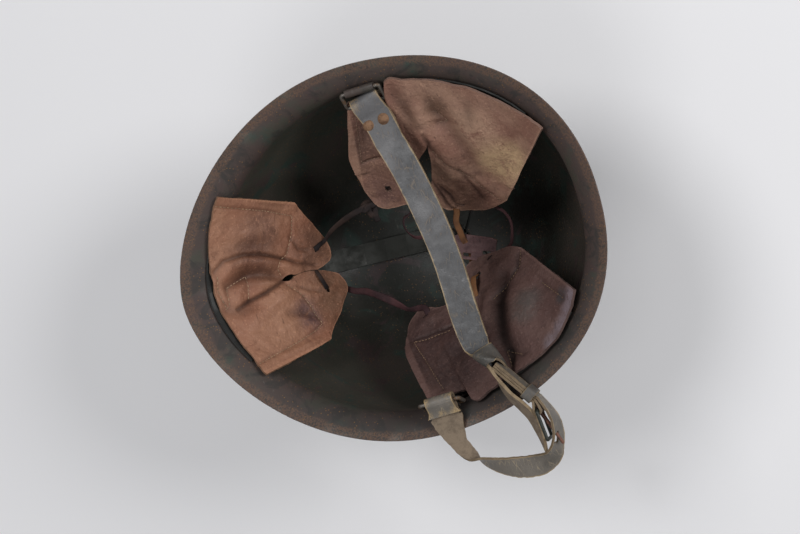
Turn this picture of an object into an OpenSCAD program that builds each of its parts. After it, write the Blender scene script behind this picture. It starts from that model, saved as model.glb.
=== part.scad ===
// Military helmet: pressed steel shell, three-pad leather liner on sprung carriers,
// wire rings and a buckled leather chin strap. It lies on its crown, opening up.
// X points to the front of the helmet, Z out of the opening, and the rim lies at Z = 0.

/* [Shell] */
// Rim to the front of the widest point
rim_front = 150; // [140:1:158]
// Rim to the rear of the widest point
rim_rear = 142; // [134:1:150]
// Half the width of the rim
rim_side = 122.5; // [120:0.5:128]
// Fullness of the rim's outline at the front, 2 is an ellipse
front_fullness = 1.8; // [1.75:0.05:2.1]
// Fullness of the rim's outline at the rear
rear_fullness = 2.17; // [2:0.05:2.4]
// Height from the rim to the crown
shell_height = 158; // [152:1:170]
// Thickness of the steel sheet
sheet = 1.2; // [1:0.1:1.5]
// Fullness of the dome's profile, 2 is an ellipse
dome_fullness = 2.2; // [2:0.05:2.4]
// Height of the flared brim
flare_depth = 16; // [14:0.5:20]
// Width of the flare at the front
flare_front = 19; // [16:0.5:24]
// Width of the flare at the sides
flare_side = 15.5; // [14:0.5:18]
// Width of the flare at the rear
flare_rear = 15.5; // [14:0.5:20]
// Steepest lean of the flare from upright
flare_lean = 62; // [50:1:68]

/* [Liner] */
// Gap between the shell and a carrier
carrier_gap = 3; // [2.8:0.1:4]
// Thickness of the spring steel
spring_t = 1; // [0.8:0.1:1.2]
// Depth of a carrier's curved plate below the low end of a pad's hem
plate_h = 14; // [12:1:20]
// Width of a carrier's arm
arm_w = 16; // [12:1:18]
// Thickness of the pad leather
leather = 1.8; // [1.2:0.1:2.2]
// Length of a pad from the low end of its hem to its tongue tips
pad_len = 98; // [92:1:102]
// Depth of the pads' hems below the rim
hem_depth = 4.5; // [4:0.5:8]
// Half the width of a pad near its tips
tip_half = 46; // [40:1:48]
// Thickness of a felt cushion at its crown
cushion_t = 9; // [4:0.5:11]
// Crown rivet radius
crown_r = 2.5; // [1.5:0.1:3]
// Half the width of the thong
lace_half_w = 1.8; // [1.2:0.1:2]
// Half the thickness of the thong
lace_half_t = 0.8; // [0.5:0.1:1]

/* [Rings and brackets] */
// Place of the brackets behind the middle of the helmet
bracket_x = -9; // [-14:1:0]
// Wire radius of a ring
wire_r = 1.3; // [1:0.1:1.5]
// Length of a ring from bar to bar
ring_len = 11.5; // [10:0.5:14]
// Width of a ring, middle to middle of its legs
ring_w = 27; // [26:0.5:30]
// Thickness of the bracket sheet
bracket_t = 1; // [0.8:0.1:1.2]
// Width of a bracket
bracket_w = 20; // [16:1:22]
// Bracket rivet radius
bracket_rivet_r = 1.6; // [1.2:0.1:2]
// Running clearance of a ring bar in its knuckle and of a leather fold on its bar
turn_gap = 0.35; // [0.3:0.05:0.45]

/* [Strap] */
// Thickness of the strap leather
strap_t = 2; // [1.6:0.1:2.2]
// Half the width of the long strap at its ring
strap_half_w = 10; // [8:0.5:10.5]
// Half the width of the narrow straps
narrow_half_w = 5; // [4:0.5:5.5]
// Thickness of the narrow straps
narrow_t = 1.6; // [1.2:0.1:1.8]
// Radius of the strap rivets' heads
rivet_head_r = 3.8; // [3:0.1:4.5]
// Length of the lower keeper along the strap
keeper_len = 7; // [5:0.5:9]
// Thickness of the keeper leather
keeper_t = 1.3; // [1:0.1:1.5]

/* [Buckle] */
// Length of the buckle from bar to bar
buckle_len = 19; // [17:0.5:21]
// Height of the buckle frame
buckle_h = 15; // [14.5:0.5:17]
// Wire radius of the buckle frame
buckle_r = 1.1; // [0.9:0.1:1.3]
// Length of the prong from its bar
prong_len = 26; // [24:0.5:28]

/* [Hidden] */
seat_gap = 0.3;

// Loft helpers: a grid of rows, each a closed ring of points, made a solid
function flat(l) = [for (a = l) for (b = a) b];
function ring_faces(rows, n) = [
    for (i = [0 : rows - 2]) for (j = [0 : n - 1]) for (f = [
        [i * n + j, (i + 1) * n + (j + 1) % n, i * n + (j + 1) % n],
        [i * n + j, (i + 1) * n + j, (i + 1) * n + (j + 1) % n]
    ]) f
];
function turned(rows) = [for (r = rows) [for (k = [len(r) - 1 : -1 : 0]) r[k]]];
// End cap of a ring with an even number of points, in quads from its first half to its second
function cap(first, n, way) = [
    for (j = [0 : n / 2 - 2]) for (f = [[j, j + 1, n - 2 - j], [j, n - 2 - j, n - 1 - j]])
        [first + f[0], first + f[way > 0 ? 1 : 2], first + f[way > 0 ? 2 : 1]]
];
module loft(rows) {
    n = len(rows[0]);
    polyhedron(flat(rows), concat(ring_faces(len(rows), n), cap(0, n, 1),
        cap((len(rows) - 1) * n, n, -1)));
}

// Shell form in plan and in profile
function plan_len(az) = (rim_front + rim_rear) / 2 + (rim_front - rim_rear) / 2 * cos(az);
function fullness(az) = (front_fullness + rear_fullness) / 2
    + (front_fullness - rear_fullness) / 2 * cos(az);
function rim_r(az) = pow(pow(abs(cos(az)) / plan_len(az), fullness(az))
    + pow(abs(sin(az)) / rim_side, fullness(az)), -1 / fullness(az));
function flare_w(az) = flare_side * pow(sin(az), 2)
    + (cos(az) > 0 ? flare_front : flare_rear) * pow(cos(az), 2);
function root_r(az) = rim_r(az) - flare_w(az);
function polar(r, az, z) = [r * cos(az), r * sin(az), z];
function flare_pt(az, lean, inner) = polar(
    root_r(az) + flare_w(az) * (1 - cos(lean)) / (1 - cos(flare_lean)) - inner * sheet / cos(lean),
    az, -flare_depth * (1 - sin(lean) / sin(flare_lean)));
function dome_pt(az, fall, inset) = polar((root_r(az) - inset) * pow(cos(fall), 2 / dome_fullness),
    az, -flare_depth - (shell_height - flare_depth - inset) * pow(sin(fall), 2 / dome_fullness));
// Inner wall at a height, moved inward by inset: the flare above, the dome below
function lean_at(z) = asin((1 + z / flare_depth) * sin(flare_lean));
function wall_r(az, z, inset) = z > -flare_depth
    ? norm([flare_pt(az, lean_at(z), 1).x, flare_pt(az, lean_at(z), 1).y]) - inset
    : (root_r(az) - sheet - inset) * pow(1 - pow(
        (-flare_depth - z) / (shell_height - flare_depth - sheet - inset), dome_fullness),
        1 / dome_fullness);

around = 64;
flare_steps = 4;
dome_steps = 11;
dome_last = 86.5;
function skin_ring(k, inner) = [
    for (j = [0 : around - 1]) let (az = j * 360 / around)
        k < flare_steps ? flare_pt(az, flare_lean * (1 - k / flare_steps), inner)
            : dome_pt(az, min(dome_last, 90 * (k - flare_steps) / dome_steps), inner * sheet)
];
module shell_bowl() {
    last = flare_steps + dome_steps;
    rows = concat([for (k = [last : -1 : 0]) skin_ring(k, 0)], [for (k = [0 : last]) skin_ring(k, 1)]);
    n = around;
    m = len(rows);
    pts = concat(flat(rows), [[0, 0, -shell_height], [0, 0, sheet - shell_height]]);
    polyhedron(pts, concat(ring_faces(m, n),
        [for (j = [0 : n - 1]) [m * n, j, (j + 1) % n]],
        [for (j = [0 : n - 1]) [m * n + 1, (m - 1) * n + (j + 1) % n, (m - 1) * n + j]]));
}
module shell() color([0.24, 0.22, 0.18]) difference() {
    shell_bowl();
    for (s = [-1, 1]) bracket_rivet_places(s) cylinder(r = bracket_rivet_r, h = 30, center = true, $fn = 32);
    translate([0, 0, -shell_height]) cylinder(r = crown_r, h = 20, center = true, $fn = 32);
}

// Brackets: a leaf on the wall, rolled over at the top round the ring's bar
knuckle_r = wire_r + turn_gap + bracket_t;
knuckle_z = -5;
leaf_low = -33;
rivet_dx = 6;
rivet_z = -26;
function wall_y(x, z) = let (az = 90 - asin(x / root_r(90))) wall_r(az, z, 0) * sin(az);
bracket_y = min(wall_y(bracket_x - bracket_w / 2, leaf_low), wall_y(bracket_x + bracket_w / 2, leaf_low));
leaf_y = bracket_y - 0.3 - bracket_t / 2;
leaf_in = leaf_y - bracket_t / 2;
knuckle_y = leaf_y + 1.2;
module bracket_rivet_places(s) for (x = [-1, 1])
    translate([bracket_x + x * rivet_dx, s * bracket_y, rivet_z]) rotate([-90 * s, 0, 0]) children();
module bracket(s) color([0.3, 0.27, 0.2]) mirror([0, s > 0 ? 0 : 1, 0]) difference() {
    translate([bracket_x - bracket_w / 2, 0, 0]) rotate([90, 0, 90]) linear_extrude(bracket_w) {
        difference() {
            union() {
                translate([knuckle_y, knuckle_z]) circle(r = knuckle_r, $fn = 48);
                translate([leaf_in, leaf_low]) square([bracket_t, -flare_depth - 1 - leaf_low]);
                polygon([
                    [leaf_in, -flare_depth - 1.5], [leaf_in + bracket_t, -flare_depth - 1.5],
                    [knuckle_y - 0.2, knuckle_z - knuckle_r + 0.3],
                    [knuckle_y - knuckle_r + 0.1, knuckle_z - 0.4]
                ]);
            }
            translate([knuckle_y, knuckle_z]) circle(r = wire_r + turn_gap, $fn = 48);
        }
    }
    for (x = [-1, 1]) translate([bracket_x + x * rivet_dx, bracket_y, rivet_z])
        rotate([90, 0, 0]) cylinder(r = bracket_rivet_r, h = 12, center = true, $fn = 32);
}
// A rivet fills its holes; the head inside is flat, the one outside is domed
inner_head = 0.5;
module domed_rivet(r, head_r, head_h, grip) {
    cylinder(r = r, h = grip, $fn = 32);
    translate([0, 0, -inner_head]) cylinder(r = head_r, h = inner_head, $fn = 32);
    translate([0, 0, grip]) rotate_extrude($fn = 48) intersection() {
        translate([0, (head_h * head_h - head_r * head_r) / (2 * head_h)])
            circle(r = (head_h * head_h + head_r * head_r) / (2 * head_h), $fn = 96);
        square([head_r, head_h]);
    }
}
bracket_head_r = bracket_rivet_r + 1.6;
bracket_head_h = 1.6;
head_seat = 0.15;
bracket_grip = wall_y(bracket_x, rivet_z) + sheet + head_seat - leaf_in;
module bracket_rivets() color([0.3, 0.27, 0.2]) for (s = [-1, 1]) for (x = [-1, 1])
    translate([bracket_x + x * rivet_dx, s * leaf_in, rivet_z]) rotate([-90 * s, 0, 0])
        domed_rivet(bracket_rivet_r, bracket_head_r, bracket_head_h, bracket_grip);

// Rings: a closed wire loop, drawn with its hinge bar on X and its strap bar at +Y
ring_corner = 1.8;
module ring_wire() {
    for (y = [0, ring_len]) translate([ring_corner - ring_w / 2, y, 0]) rotate([0, 90, 0])
        cylinder(r = wire_r, h = ring_w - 2 * ring_corner, $fn = 32);
    for (x = [-1, 1]) translate([x * ring_w / 2, ring_corner, 0]) rotate([-90, 0, 0])
        cylinder(r = wire_r, h = ring_len - 2 * ring_corner, $fn = 32);
    for (c = [[1, 1, 0], [-1, 1, 90], [-1, -1, 180], [1, -1, 270]])
        translate([c.x * (ring_w / 2 - ring_corner), ring_len / 2 + c.y * (ring_len / 2 - ring_corner), 0])
            rotate([0, 0, c.z]) rotate_extrude(angle = 90, $fn = 48)
                translate([ring_corner, 0]) circle(r = wire_r, $fn = 32);
}
left_swing = -42;
right_swing = 110;
module ring_left() color([0.35, 0.25, 0.16]) translate([bracket_x, -knuckle_y, knuckle_z])
    rotate([left_swing, 0, 0]) ring_wire();
module ring_right() color([0.35, 0.25, 0.16]) translate([bracket_x, knuckle_y, knuckle_z])
    rotate([right_swing, 0, 0]) ring_wire();
left_bar = [bracket_x, -knuckle_y + ring_len * cos(left_swing), knuckle_z + ring_len * sin(left_swing)];
right_bar = [bracket_x, knuckle_y + ring_len * cos(right_swing), knuckle_z + ring_len * sin(right_swing)];

// Pads: [wall azimuth, half the wall angle, tip azimuth, tip radius, height of the hem's low end,
// half the width near the tips, sideways set of the tips, length, side that drops for a bracket];
// each has worn its own way
PAD_F = [-2, 29.5, 2, 64, -12, tip_half - 3, 0, pad_len, 0];
PAD_L = [-122.5, 35, -106, 22, -20, tip_half, -7, pad_len + 6, 1];
PAD_R = [121.5, 32, 112, 30, -20, tip_half + 1, 0, pad_len, -1];
function unit(v) = v / norm(v);
pad_back = carrier_gap + spring_t + seat_gap;
function hem_r(p, az) = wall_r(az, p[4], pad_back + leather);
// The hem follows the flare up to its full height, and drops to its low end beside a bracket
bracket_end_u = 0.65;
bracket_ease_u = 0.5;
hem_tuck = 2.1;
function hem_share(p, u) = let (q = max(0, min(1, (bracket_end_u - p[8] * u) / bracket_ease_u)))
    p[8] == 0 ? 1 : q * q * (3 - 2 * q);
function hem_z(p, u) = p[4] + (-hem_depth - p[4]) * hem_share(p, u);
function hem_pt(p, u) = let (az = p[0] + u * p[1], z = hem_z(p, u))
    polar(wall_r(az, z - hem_tuck * hem_share(p, u), pad_back + leather), az, z);
function tip_z(p) = p[4] - sqrt(pow(p[7], 2) - pow(hem_r(p, p[0]) - p[3], 2));
function pad_local(p, r, l, z) = [r * cos(p[2]) - l * sin(p[2]), r * sin(p[2]) + l * cos(p[2]), z];
function pad_normal(p) = let (run = [p[3] - hem_r(p, p[0]), tip_z(p) - p[4]])
    let (n = unit([run[1], -run[0]])) [n[0] * cos(p[2]), n[0] * sin(p[2]), n[1]];
function tongue_round(u) = 1 - 0.2 * pow(abs(abs(u) - 0.45) / 0.5, 2.4);
function pad_pt(p, u, v, back) = let (
    az = p[0] + u * p[1],
    w = polar(hem_r(p, az), az, p[4]),
    t = pad_local(p, p[3], u * p[5] + p[6], tip_z(p)),
    k = v * tongue_round(u),
    belly = 5 * sin(180 * k) * (1 - 0.5 * u * u)
) w * (1 - k) + t * k + (hem_pt(p, u) - w) * pow(1 - k, 3) + pad_normal(p) * (belly - back);
pad_u = [-1, -0.84, -0.68, -0.54, -0.36, -0.2, -0.05, 0.05, 0.2, 0.36, 0.54, 0.68, 0.84, 1];
pad_v = [0, 0.1, 0.2, 0.3, 0.4, 0.5, 0.6, 0.7, 0.8, 0.87, 0.94, 1];
// A cell of the leather is open at the slit between the tongues and at the lace slots
function leather_there(i, j) = !(i == 6 && j >= 5) && !((i == 3 || i == 9) && j == 9);
function inside(i, j, ni, nj) = i >= 0 && j >= 0 && i < ni && j < nj && leather_there(i, j);
module pad(p) {
    ni = len(pad_u) - 1;
    nj = len(pad_v) - 1;
    back0 = (ni + 1) * (nj + 1);
    pts = [for (b = [0, leather]) for (j = [0 : nj]) for (i = [0 : ni]) pad_pt(p, pad_u[i], pad_v[j], b)];
    function at(i, j, b) = b * back0 + j * (ni + 1) + i;
    function side(a, b, c, d) = [[a, b, c], [a, c, d]];
    function edge(oi, oj, i0, j0, i1, j1) = inside(oi, oj, ni, nj) ? []
        : side(at(i0, j0, 0), at(i1, j1, 0), at(i1, j1, 1), at(i0, j0, 1));
    faces = [for (j = [0 : nj - 1]) for (i = [0 : ni - 1]) if (leather_there(i, j)) for (f = concat(
        side(at(i, j, 0), at(i + 1, j, 0), at(i + 1, j + 1, 0), at(i, j + 1, 0)),
        side(at(i, j + 1, 1), at(i + 1, j + 1, 1), at(i + 1, j, 1), at(i, j, 1)),
        edge(i - 1, j, i, j, i, j + 1),
        edge(i + 1, j, i + 1, j + 1, i + 1, j),
        edge(i, j - 1, i + 1, j, i, j),
        edge(i, j + 1, i, j + 1, i + 1, j + 1)
    )) f];
    polyhedron(pts, [for (f = faces) [f[0], f[2], f[1]]]);
}
module pad_front() color([0.62, 0.4, 0.26]) pad(PAD_F);
module pad_left() color([0.55, 0.4, 0.34]) pad(PAD_L);
module pad_right() color([0.4, 0.28, 0.27]) pad(PAD_R);

// Felt cushions lie behind the leather, thick in the middle and thin at their edges
cushion_steps = 10;
cushion_span = 0.8;
cushion_edge = 1.2;
cushion_gap = 0.6;
function cushion_pt(p, i, j, side) = let (
    a = i / cushion_steps * 2 - 1,
    b = j / cushion_steps * 2 - 1,
    fill = sqrt(max(0, 1 - pow(a, 4))) * sqrt(max(0, 1 - pow(b, 4))),
    u = a * cushion_span * (1 - 0.08 * b * b),
    v = 0.33 + 0.15 * b * (1 - 0.1 * a * a)
) pad_pt(p, u, v, leather + cushion_gap + side * (cushion_edge + (cushion_t - cushion_edge) * fill));
module cushion(p) {
    n = cushion_steps;
    rows = [for (j = [0 : n]) concat([for (i = [0 : n]) cushion_pt(p, i, j, 0)],
        [for (i = [n : -1 : 0]) cushion_pt(p, i, j, 1)])];
    m = 2 * n + 2;
    function at(j, k) = j * m + k % m;
    function quad(a, b, c, d) = [[a, b, c], [a, d, b]];
    polyhedron(flat(rows), flat(concat(
        [for (j = [0 : n - 1]) for (k = [0 : m - 1])
            quad(at(j, k), at(j + 1, k + 1), at(j, k + 1), at(j + 1, k))],
        [for (i = [0 : n - 1]) quad(at(0, i + 1), at(0, m - 1 - i), at(0, i), at(0, m - 2 - i))],
        [for (i = [0 : n - 1]) quad(at(n, i), at(n, m - 2 - i), at(n, i + 1), at(n, m - 1 - i))])));
}
module cushion_front() color([0.6, 0.58, 0.52]) cushion(PAD_F);
module cushion_left() color([0.6, 0.58, 0.52]) cushion(PAD_L);
module cushion_right() color([0.6, 0.58, 0.52]) cushion(PAD_R);

// Carriers: a curved plate behind the hem and an arm that follows the wall to the crown
plate_steps = 12;
plate_rows = 4;
plate_span = 0.82;
plate_drop = 1;
arm_steps = 12;
arm_lap = 3;
arm_last_fall = 83.5;
arm_end_gap = 0.3;
eye_lift = 0.9;
eye_edge = 1.4;
eye_run = 1.5;
hole_play = 0.1;
stack_gap = 0.02;
module carrier(p, layer) {
    low = p[4] - plate_drop - plate_h;
    loft(turned([for (i = [0 : plate_steps]) let (
        u = plate_span * (2 * i / plate_steps - 1),
        az = p[0] + p[1] * u,
        top = hem_z(p, u) - plate_drop,
        zs = [for (q = [0 : plate_rows]) top + (low - top) * q / plate_rows]
    ) concat([for (q = [plate_rows : -1 : 0]) polar(wall_r(az, zs[q], carrier_gap), az, zs[q])],
        [for (z = zs) polar(wall_r(az, z, carrier_gap + spring_t), az, z)])]));
    eye_r = arm_w / 2 + eye_edge;
    eye_z = sheet - shell_height + eye_lift + layer * (spring_t + stack_gap);
    slope = (eye_z + shell_height - sheet - eye_lift) / (arm_steps * arm_steps);
    flat_r = eye_r + eye_run;
    first_drop = plate_h - arm_lap - p[4] - flare_depth;
    start = asin(pow(first_drop / (shell_height - flare_depth), dome_fullness / 2));
    difference() {
        union() {
            loft(turned([for (k = [0 : arm_steps + 1]) let (
                fall = start + (arm_last_fall - start) * min(k, arm_steps - 1) / (arm_steps - 1),
                inset = sheet + carrier_gap + (arm_end_gap - carrier_gap) * pow(k / arm_steps, 2),
                wall = dome_pt(p[0], fall, inset),
                rise = slope * k * k,
                end_r = k > arm_steps ? eye_r - arm_lap : flat_r,
                out = k < arm_steps ? wall + [0, 0, rise] : polar(end_r, p[0], eye_z),
                in = k < arm_steps ? dome_pt(p[0], fall, inset + spring_t) + [0, 0, rise]
                    : polar(end_r, p[0], eye_z + spring_t),
                l = arm_w / 2 * [-sin(p[0]), cos(p[0]), 0]
            ) [out - l, out + l, in + l, in - l]]));
            translate([0, 0, eye_z]) cylinder(r = eye_r, h = spring_t, $fn = 64);
        }
        translate([0, 0, -shell_height])
            cylinder(r = crown_r + hole_play, h = 30, center = true, $fn = 32);
    }
}
module carrier_front() color([0.4, 0.4, 0.42]) carrier(PAD_F, 0);
module carrier_left() color([0.4, 0.4, 0.42]) carrier(PAD_L, 1);
module carrier_right() color([0.4, 0.4, 0.42]) carrier(PAD_R, 2);

// Strap helper: a section swept along rows of [middle, width direction, half width]
function curve(a, b, c, d, t) = 0.5 * ((2 * b) + (c - a) * t + (2 * a - 5 * b + 4 * c - d) * t * t
    + (3 * b - a - 3 * c + d) * t * t * t);
function smooth_rows(r, steps) = concat([for (i = [0 : len(r) - 2]) for (k = [0 : steps - 1])
    curve(r[max(0, i - 1)], r[i], r[i + 1], r[min(len(r) - 1, i + 2)], k / steps)], [r[len(r) - 1]]);
function along(r, i) = unit(r[min(i + 1, len(r) - 1)][0] - r[max(i - 1, 0)][0]);
function swept(r, sec) = [for (i = [0 : len(r) - 1]) let (
    t = along(r, i),
    n = unit(cross(r[i][1], t)),
    w = unit(cross(t, n))
) [for (s = sec) r[i][0] + s[0] * r[i][2] * w + s[1] * n]];
function strip(t) = [[0, t / 2], [1, t / 2], [1, -t / 2], [0, -t / 2], [-1, -t / 2], [-1, t / 2]];
// Rows written as [x, y, z, roll, half width]: the roll turns the width up from level
function rolled(r) = [for (i = [0 : len(r) - 1]) let (
    a = r[max(i - 1, 0)],
    b = r[min(i + 1, len(r) - 1)],
    t = unit([b.x - a.x, b.y - a.y, 0])
) [[r[i].x, r[i].y, r[i].z], cos(r[i][3]) * [t.y, -t.x, 0] + sin(r[i][3]) * [0, 0, 1], r[i][4]]];

// Fold of a strap round a bar, in the plane of dir and side: flap layer, round the bar, long layer
fold_gap = 0.1;
function fold_rows(bar, dir, side, w, half_w, r_in, t, flap) = let (
    rho = r_in + t / 2,
    g = (t + fold_gap) / 2,
    flat_at = rho + 5
) [for (q = concat([[flap, g], [flat_at, g], [rho + 1.5, g + 0.45 * (rho - g)]],
    [for (a = [70 : 20 : 290]) [rho * cos(a), rho * sin(a)]],
    [[rho + 1.5, -g - 0.45 * (rho - g)], [flat_at, -g], [flap + 1, -g]]
)) [bar + q[0] * dir + q[1] * side, w, half_w]];

// Long strap: folded round the left ring's bar and riveted, across the opening,
// turned on edge inside the upper keeper and cut to a point under the buckle
strap_yaw = 7;
long_across = [cos(strap_yaw), sin(strap_yaw), 0];
long_dir = unit([-sin(strap_yaw), cos(strap_yaw), -0.12]);
long_bar = [left_bar.x - 1, left_bar.y, left_bar.z];
long_side = unit(cross(long_dir, long_across));
long_loop_r = wire_r + turn_gap + 0.1 + strap_half_w * sin(strap_yaw);
long_flap = 19;
long_fold = fold_rows(long_bar, long_dir, long_side, long_across,
    strap_half_w, long_loop_r, strap_t, long_flap);
long_route = [
    [-16, -70, -15, 0, 9.9], [-24, -45, -12.6, 0, 9.9], [-31.5, -13, -9.5, 0, 9.8],
    [-39, 19, -6, 0, 9.5], [-46.5, 52, -1, 0, 9.5], [-50.6, 70, 2.2, 6, 9.3], [-51.4, 78, 4, 34, 8.9],
    [-50.4, 86, 6, 76, 8], [-50.6, 92, 7.3, 90, 7], [-53.4, 99, 7.7, 98, 6.6],
    [-57.4, 106.5, 8, 108, 6.3], [-62.4, 114.4, 7.8, 112, 6], [-66, 123, 7, 110, 5.2],
    [-68, 133, 6, 100, 4], [-68.4, 140, 5.3, 95, 2.6], [-68.5, 146, 4.8, 92, 0.8]
];
module long_strap() color([0.3, 0.3, 0.29]) difference() {
    loft(swept(concat(long_fold, smooth_rows(rolled(long_route), 4)), strip(strap_t)));
    long_rivet_places() cylinder(r = long_rivet_r, h = 12, center = true, $fn = 32);
}
long_rivet_r = 1.5;
long_rivet_at = 13.5;
long_rivet_dx = 5.5;
module long_rivet_places() for (x = [-1, 1])
    translate(long_bar + long_rivet_at * long_dir + x * long_rivet_dx * long_across)
        multmatrix([for (k = [0 : 2]) [long_across[k], long_dir[k], -long_side[k], 0]]) children();
rivet_fit = 0.02;
long_head_h = 1.4;
module long_strap_rivets() color([0.42, 0.26, 0.17]) {
    h = strap_t + fold_gap / 2 + rivet_fit;
    long_rivet_places() translate([0, 0, -h])
        domed_rivet(long_rivet_r - rivet_fit, rivet_head_r, long_head_h, 2 * h);
}

// The narrow straps run together as a straight bundle past the lower keeper
bundle_mid = [-69.5, 109, 7.5];
bundle_dir = [-0.6, 0.8, 0];
bundle_side = [0.8, 0.6, 0];
layer_gap = 0.2;
layer = narrow_t + layer_gap;
bundle_end = -25.5;
function bundle_pt(s, k) = bundle_mid + s * bundle_dir + k * layer * bundle_side;
function bundle_row(s, k) = [bundle_pt(s, k), [0, 0, 1], narrow_half_w];

// Short strap: folded round the right ring's bar, out over the rim, round the hanging
// loop, up through the buckle and back as the tongue under both keepers
right_slack = 1.2;
right_loop_r = wire_r + right_slack;
short_half_w = 9.5;
short_skew = 0.06;
short_dir = unit([-short_skew, 1, -0.14]);
short_bar = [right_bar.x - 1, right_bar.y, right_bar.z];
short_side = unit(cross(short_dir, [1, short_skew, 0]));
short_flap = 13;
short_fold = fold_rows(short_bar, short_dir, short_side, unit([1, short_skew, 0]), short_half_w,
    right_loop_r, strap_t, short_flap);
short_route = [
    [-14, 117, 3, 0, 9], [-16.5, 124, 3, 4, 8], [-19, 130, 2.4, 15, 7], [-22, 136.5, 1.2, 40, 6.2],
    [-26.5, 143, -0.5, 78, 6], [-35, 149.5, -2, 118, 6.5], [-47, 153.5, -2.5, 146, 7],
    [-60, 154, -1, 148, 7], [-71, 150.5, 2, 125, 6.4], [-78.3, 144.5, 5.2, 102, 5.4],
    [-81.5, 137, 6.8, 92, 5], [-82, 129, 7.5, 90, 5], [-79.8, 120.5, 7.5, 90, 5]
];
tongue_rows = [for (s = [5.4, 3.4, 1, -6, -13, -20, bundle_end]) bundle_row(s, -1)];
module short_strap() color([0.48, 0.42, 0.34]) difference() {
    run = smooth_rows(concat(rolled(short_route), tongue_rows), 4);
    loft(swept(concat(short_fold, run), strip(narrow_t)));
    prong_frame() translate([0, 0, -slot_half]) rotate([0, 0, prong_rest])
        translate([prong_slot_from, -6, 0]) cube([prong_slot_len, 12, 2 * slot_half]);
}

// Keepers: closed leather loops
function oval(a, b, p, n) = [for (k = [0 : n - 1]) let (c = cos(360 * k / n), s = sin(360 * k / n))
    [a * sign(c) * pow(abs(c), p), b * sign(s) * pow(abs(s), p)]];
keeper_from = 21;
keeper_to = 32;
module keeper_tube(grow, extra) {
    base = smooth_rows(rolled(long_route), 4);
    loft(turned([for (i = [keeper_from : keeper_to]) let (
        f = (i - keeper_from) / (keeper_to - keeper_from),
        t = along(base, i),
        n = unit(cross(base[i][1], t)),
        w = unit(cross(t, n)),
        half_w = base[i][2] + 0.8,
        half_t = (strap_t / 2 + 1) * (1 - f) + 5.6 * f,
        mid = base[i][0] + 3.6 * f * n,
        slide = (i == keeper_from ? -extra : i == keeper_to ? extra : 0) * t
    ) [for (q = oval(half_w + grow, half_t + grow, 0.34, 24)) mid + slide + q[0] * w + q[1] * n]]));
}
module keeper_upper() color([0.36, 0.36, 0.31]) difference() {
    keeper_tube(keeper_t, 0);
    keeper_tube(0, 1);
}
keeper_slip = 0.35;
keeper_in_h = narrow_half_w + keeper_slip;
keeper_in_t = layer + narrow_t / 2 + keeper_slip;
module round_box(x, y, r) {
    square([2 * x - 2 * r, 2 * y], center = true);
    square([2 * x, 2 * y - 2 * r], center = true);
    for (i = [-1, 1]) for (j = [-1, 1]) translate([i * (x - r), j * (y - r)]) circle(r = r, $fn = 32);
}
keeper_at = -1;
module keeper_lower() color([0.36, 0.36, 0.31]) translate(bundle_pt(keeper_at, 0))
    multmatrix([for (k = [0 : 2]) [bundle_side[k], [0, 0, 1][k], -bundle_dir[k], 0]])
        translate([0, 0, -keeper_len / 2]) linear_extrude(keeper_len) difference() {
            round_box(keeper_in_t + keeper_t, keeper_in_h + keeper_t, keeper_t + 0.8);
            round_box(keeper_in_t, keeper_in_h, 0.3);
        }

// Buckle: the chape folds round the frame's near bar, the prong turns on the same bar
buckle_bar = [-71.5, 119, 7.5];
buckle_turn = 6;
prong_rest = 16;
prong_hole = buckle_r + 0.35;
prong_eye_r = prong_hole + 1.1;
prong_eye_h = 2.6;
slot_half = 1.7;
prong_slot_from = 17.5;
prong_slot_len = 9;
// Lies along X from the bar, with the bar on Z
module prong_frame() translate(buckle_bar) rotate([0, 0, 90 + buckle_turn]) children();
module chape_side() {
    chape_in_r = buckle_r + turn_gap;
    fold = fold_rows(buckle_bar, [0, -1, 0], [1, 0, 0], [0, 0, 1], narrow_half_w, chape_in_r, narrow_t, 5.5);
    inner = [for (s = [bundle_end, -20, -13, -6, 0, 2.9, 3.9]) bundle_row(s, 1)];
    outer = [for (s = [3.9, 2.9, 0, -6, -13, -20, bundle_end]) bundle_row(s, 0)];
    loft(swept(concat(inner, [for (i = [2 : len(fold) - 3]) fold[i]], outer), strip(narrow_t)));
}
module buckle_chape() color([0.4, 0.37, 0.31]) difference() {
    chape_side();
    translate(buckle_bar) cylinder(r = prong_eye_r + 1.6, h = prong_eye_h + 1, center = true, $fn = 32);
}
module buckle_frame() color([0.16, 0.18, 0.15]) prong_frame() {
    c = buckle_r + 0.2;
    hh = buckle_h / 2 - buckle_r;
    for (x = [0, buckle_len]) translate([x, 0, c - hh]) cylinder(r = buckle_r, h = 2 * (hh - c), $fn = 32);
    for (z = [-1, 1]) translate([c, 0, z * hh]) rotate([0, 90, 0])
        cylinder(r = buckle_r, h = buckle_len - 2 * c, $fn = 32);
    for (q = [[1, 1, 0], [-1, 1, 90], [-1, -1, 180], [1, -1, 270]])
        translate([buckle_len / 2 + q.x * (buckle_len / 2 - c), 0, q.y * (hh - c)])
            rotate([90, 0, 0]) rotate([0, 0, q.z]) rotate_extrude(angle = 90, $fn = 48)
                translate([c, 0]) circle(r = buckle_r, $fn = 32);
}
module buckle_prong() color([0.4, 0.24, 0.18]) prong_frame() rotate([0, 0, prong_rest]) difference() {
    union() {
        translate([0, 0, -prong_eye_h / 2]) cylinder(r = prong_eye_r, h = prong_eye_h, $fn = 48);
        translate([prong_hole + 0.4, 0, 0]) rotate([0, 90, 0])
            cylinder(r1 = 1.3, r2 = 1, h = prong_len - prong_hole - 1.4, $fn = 32);
        translate([prong_len - 1, 0, 0]) sphere(r = 1, $fn = 32);
    }
    cylinder(r = prong_hole, h = 10, center = true, $fn = 48);
}

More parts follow.
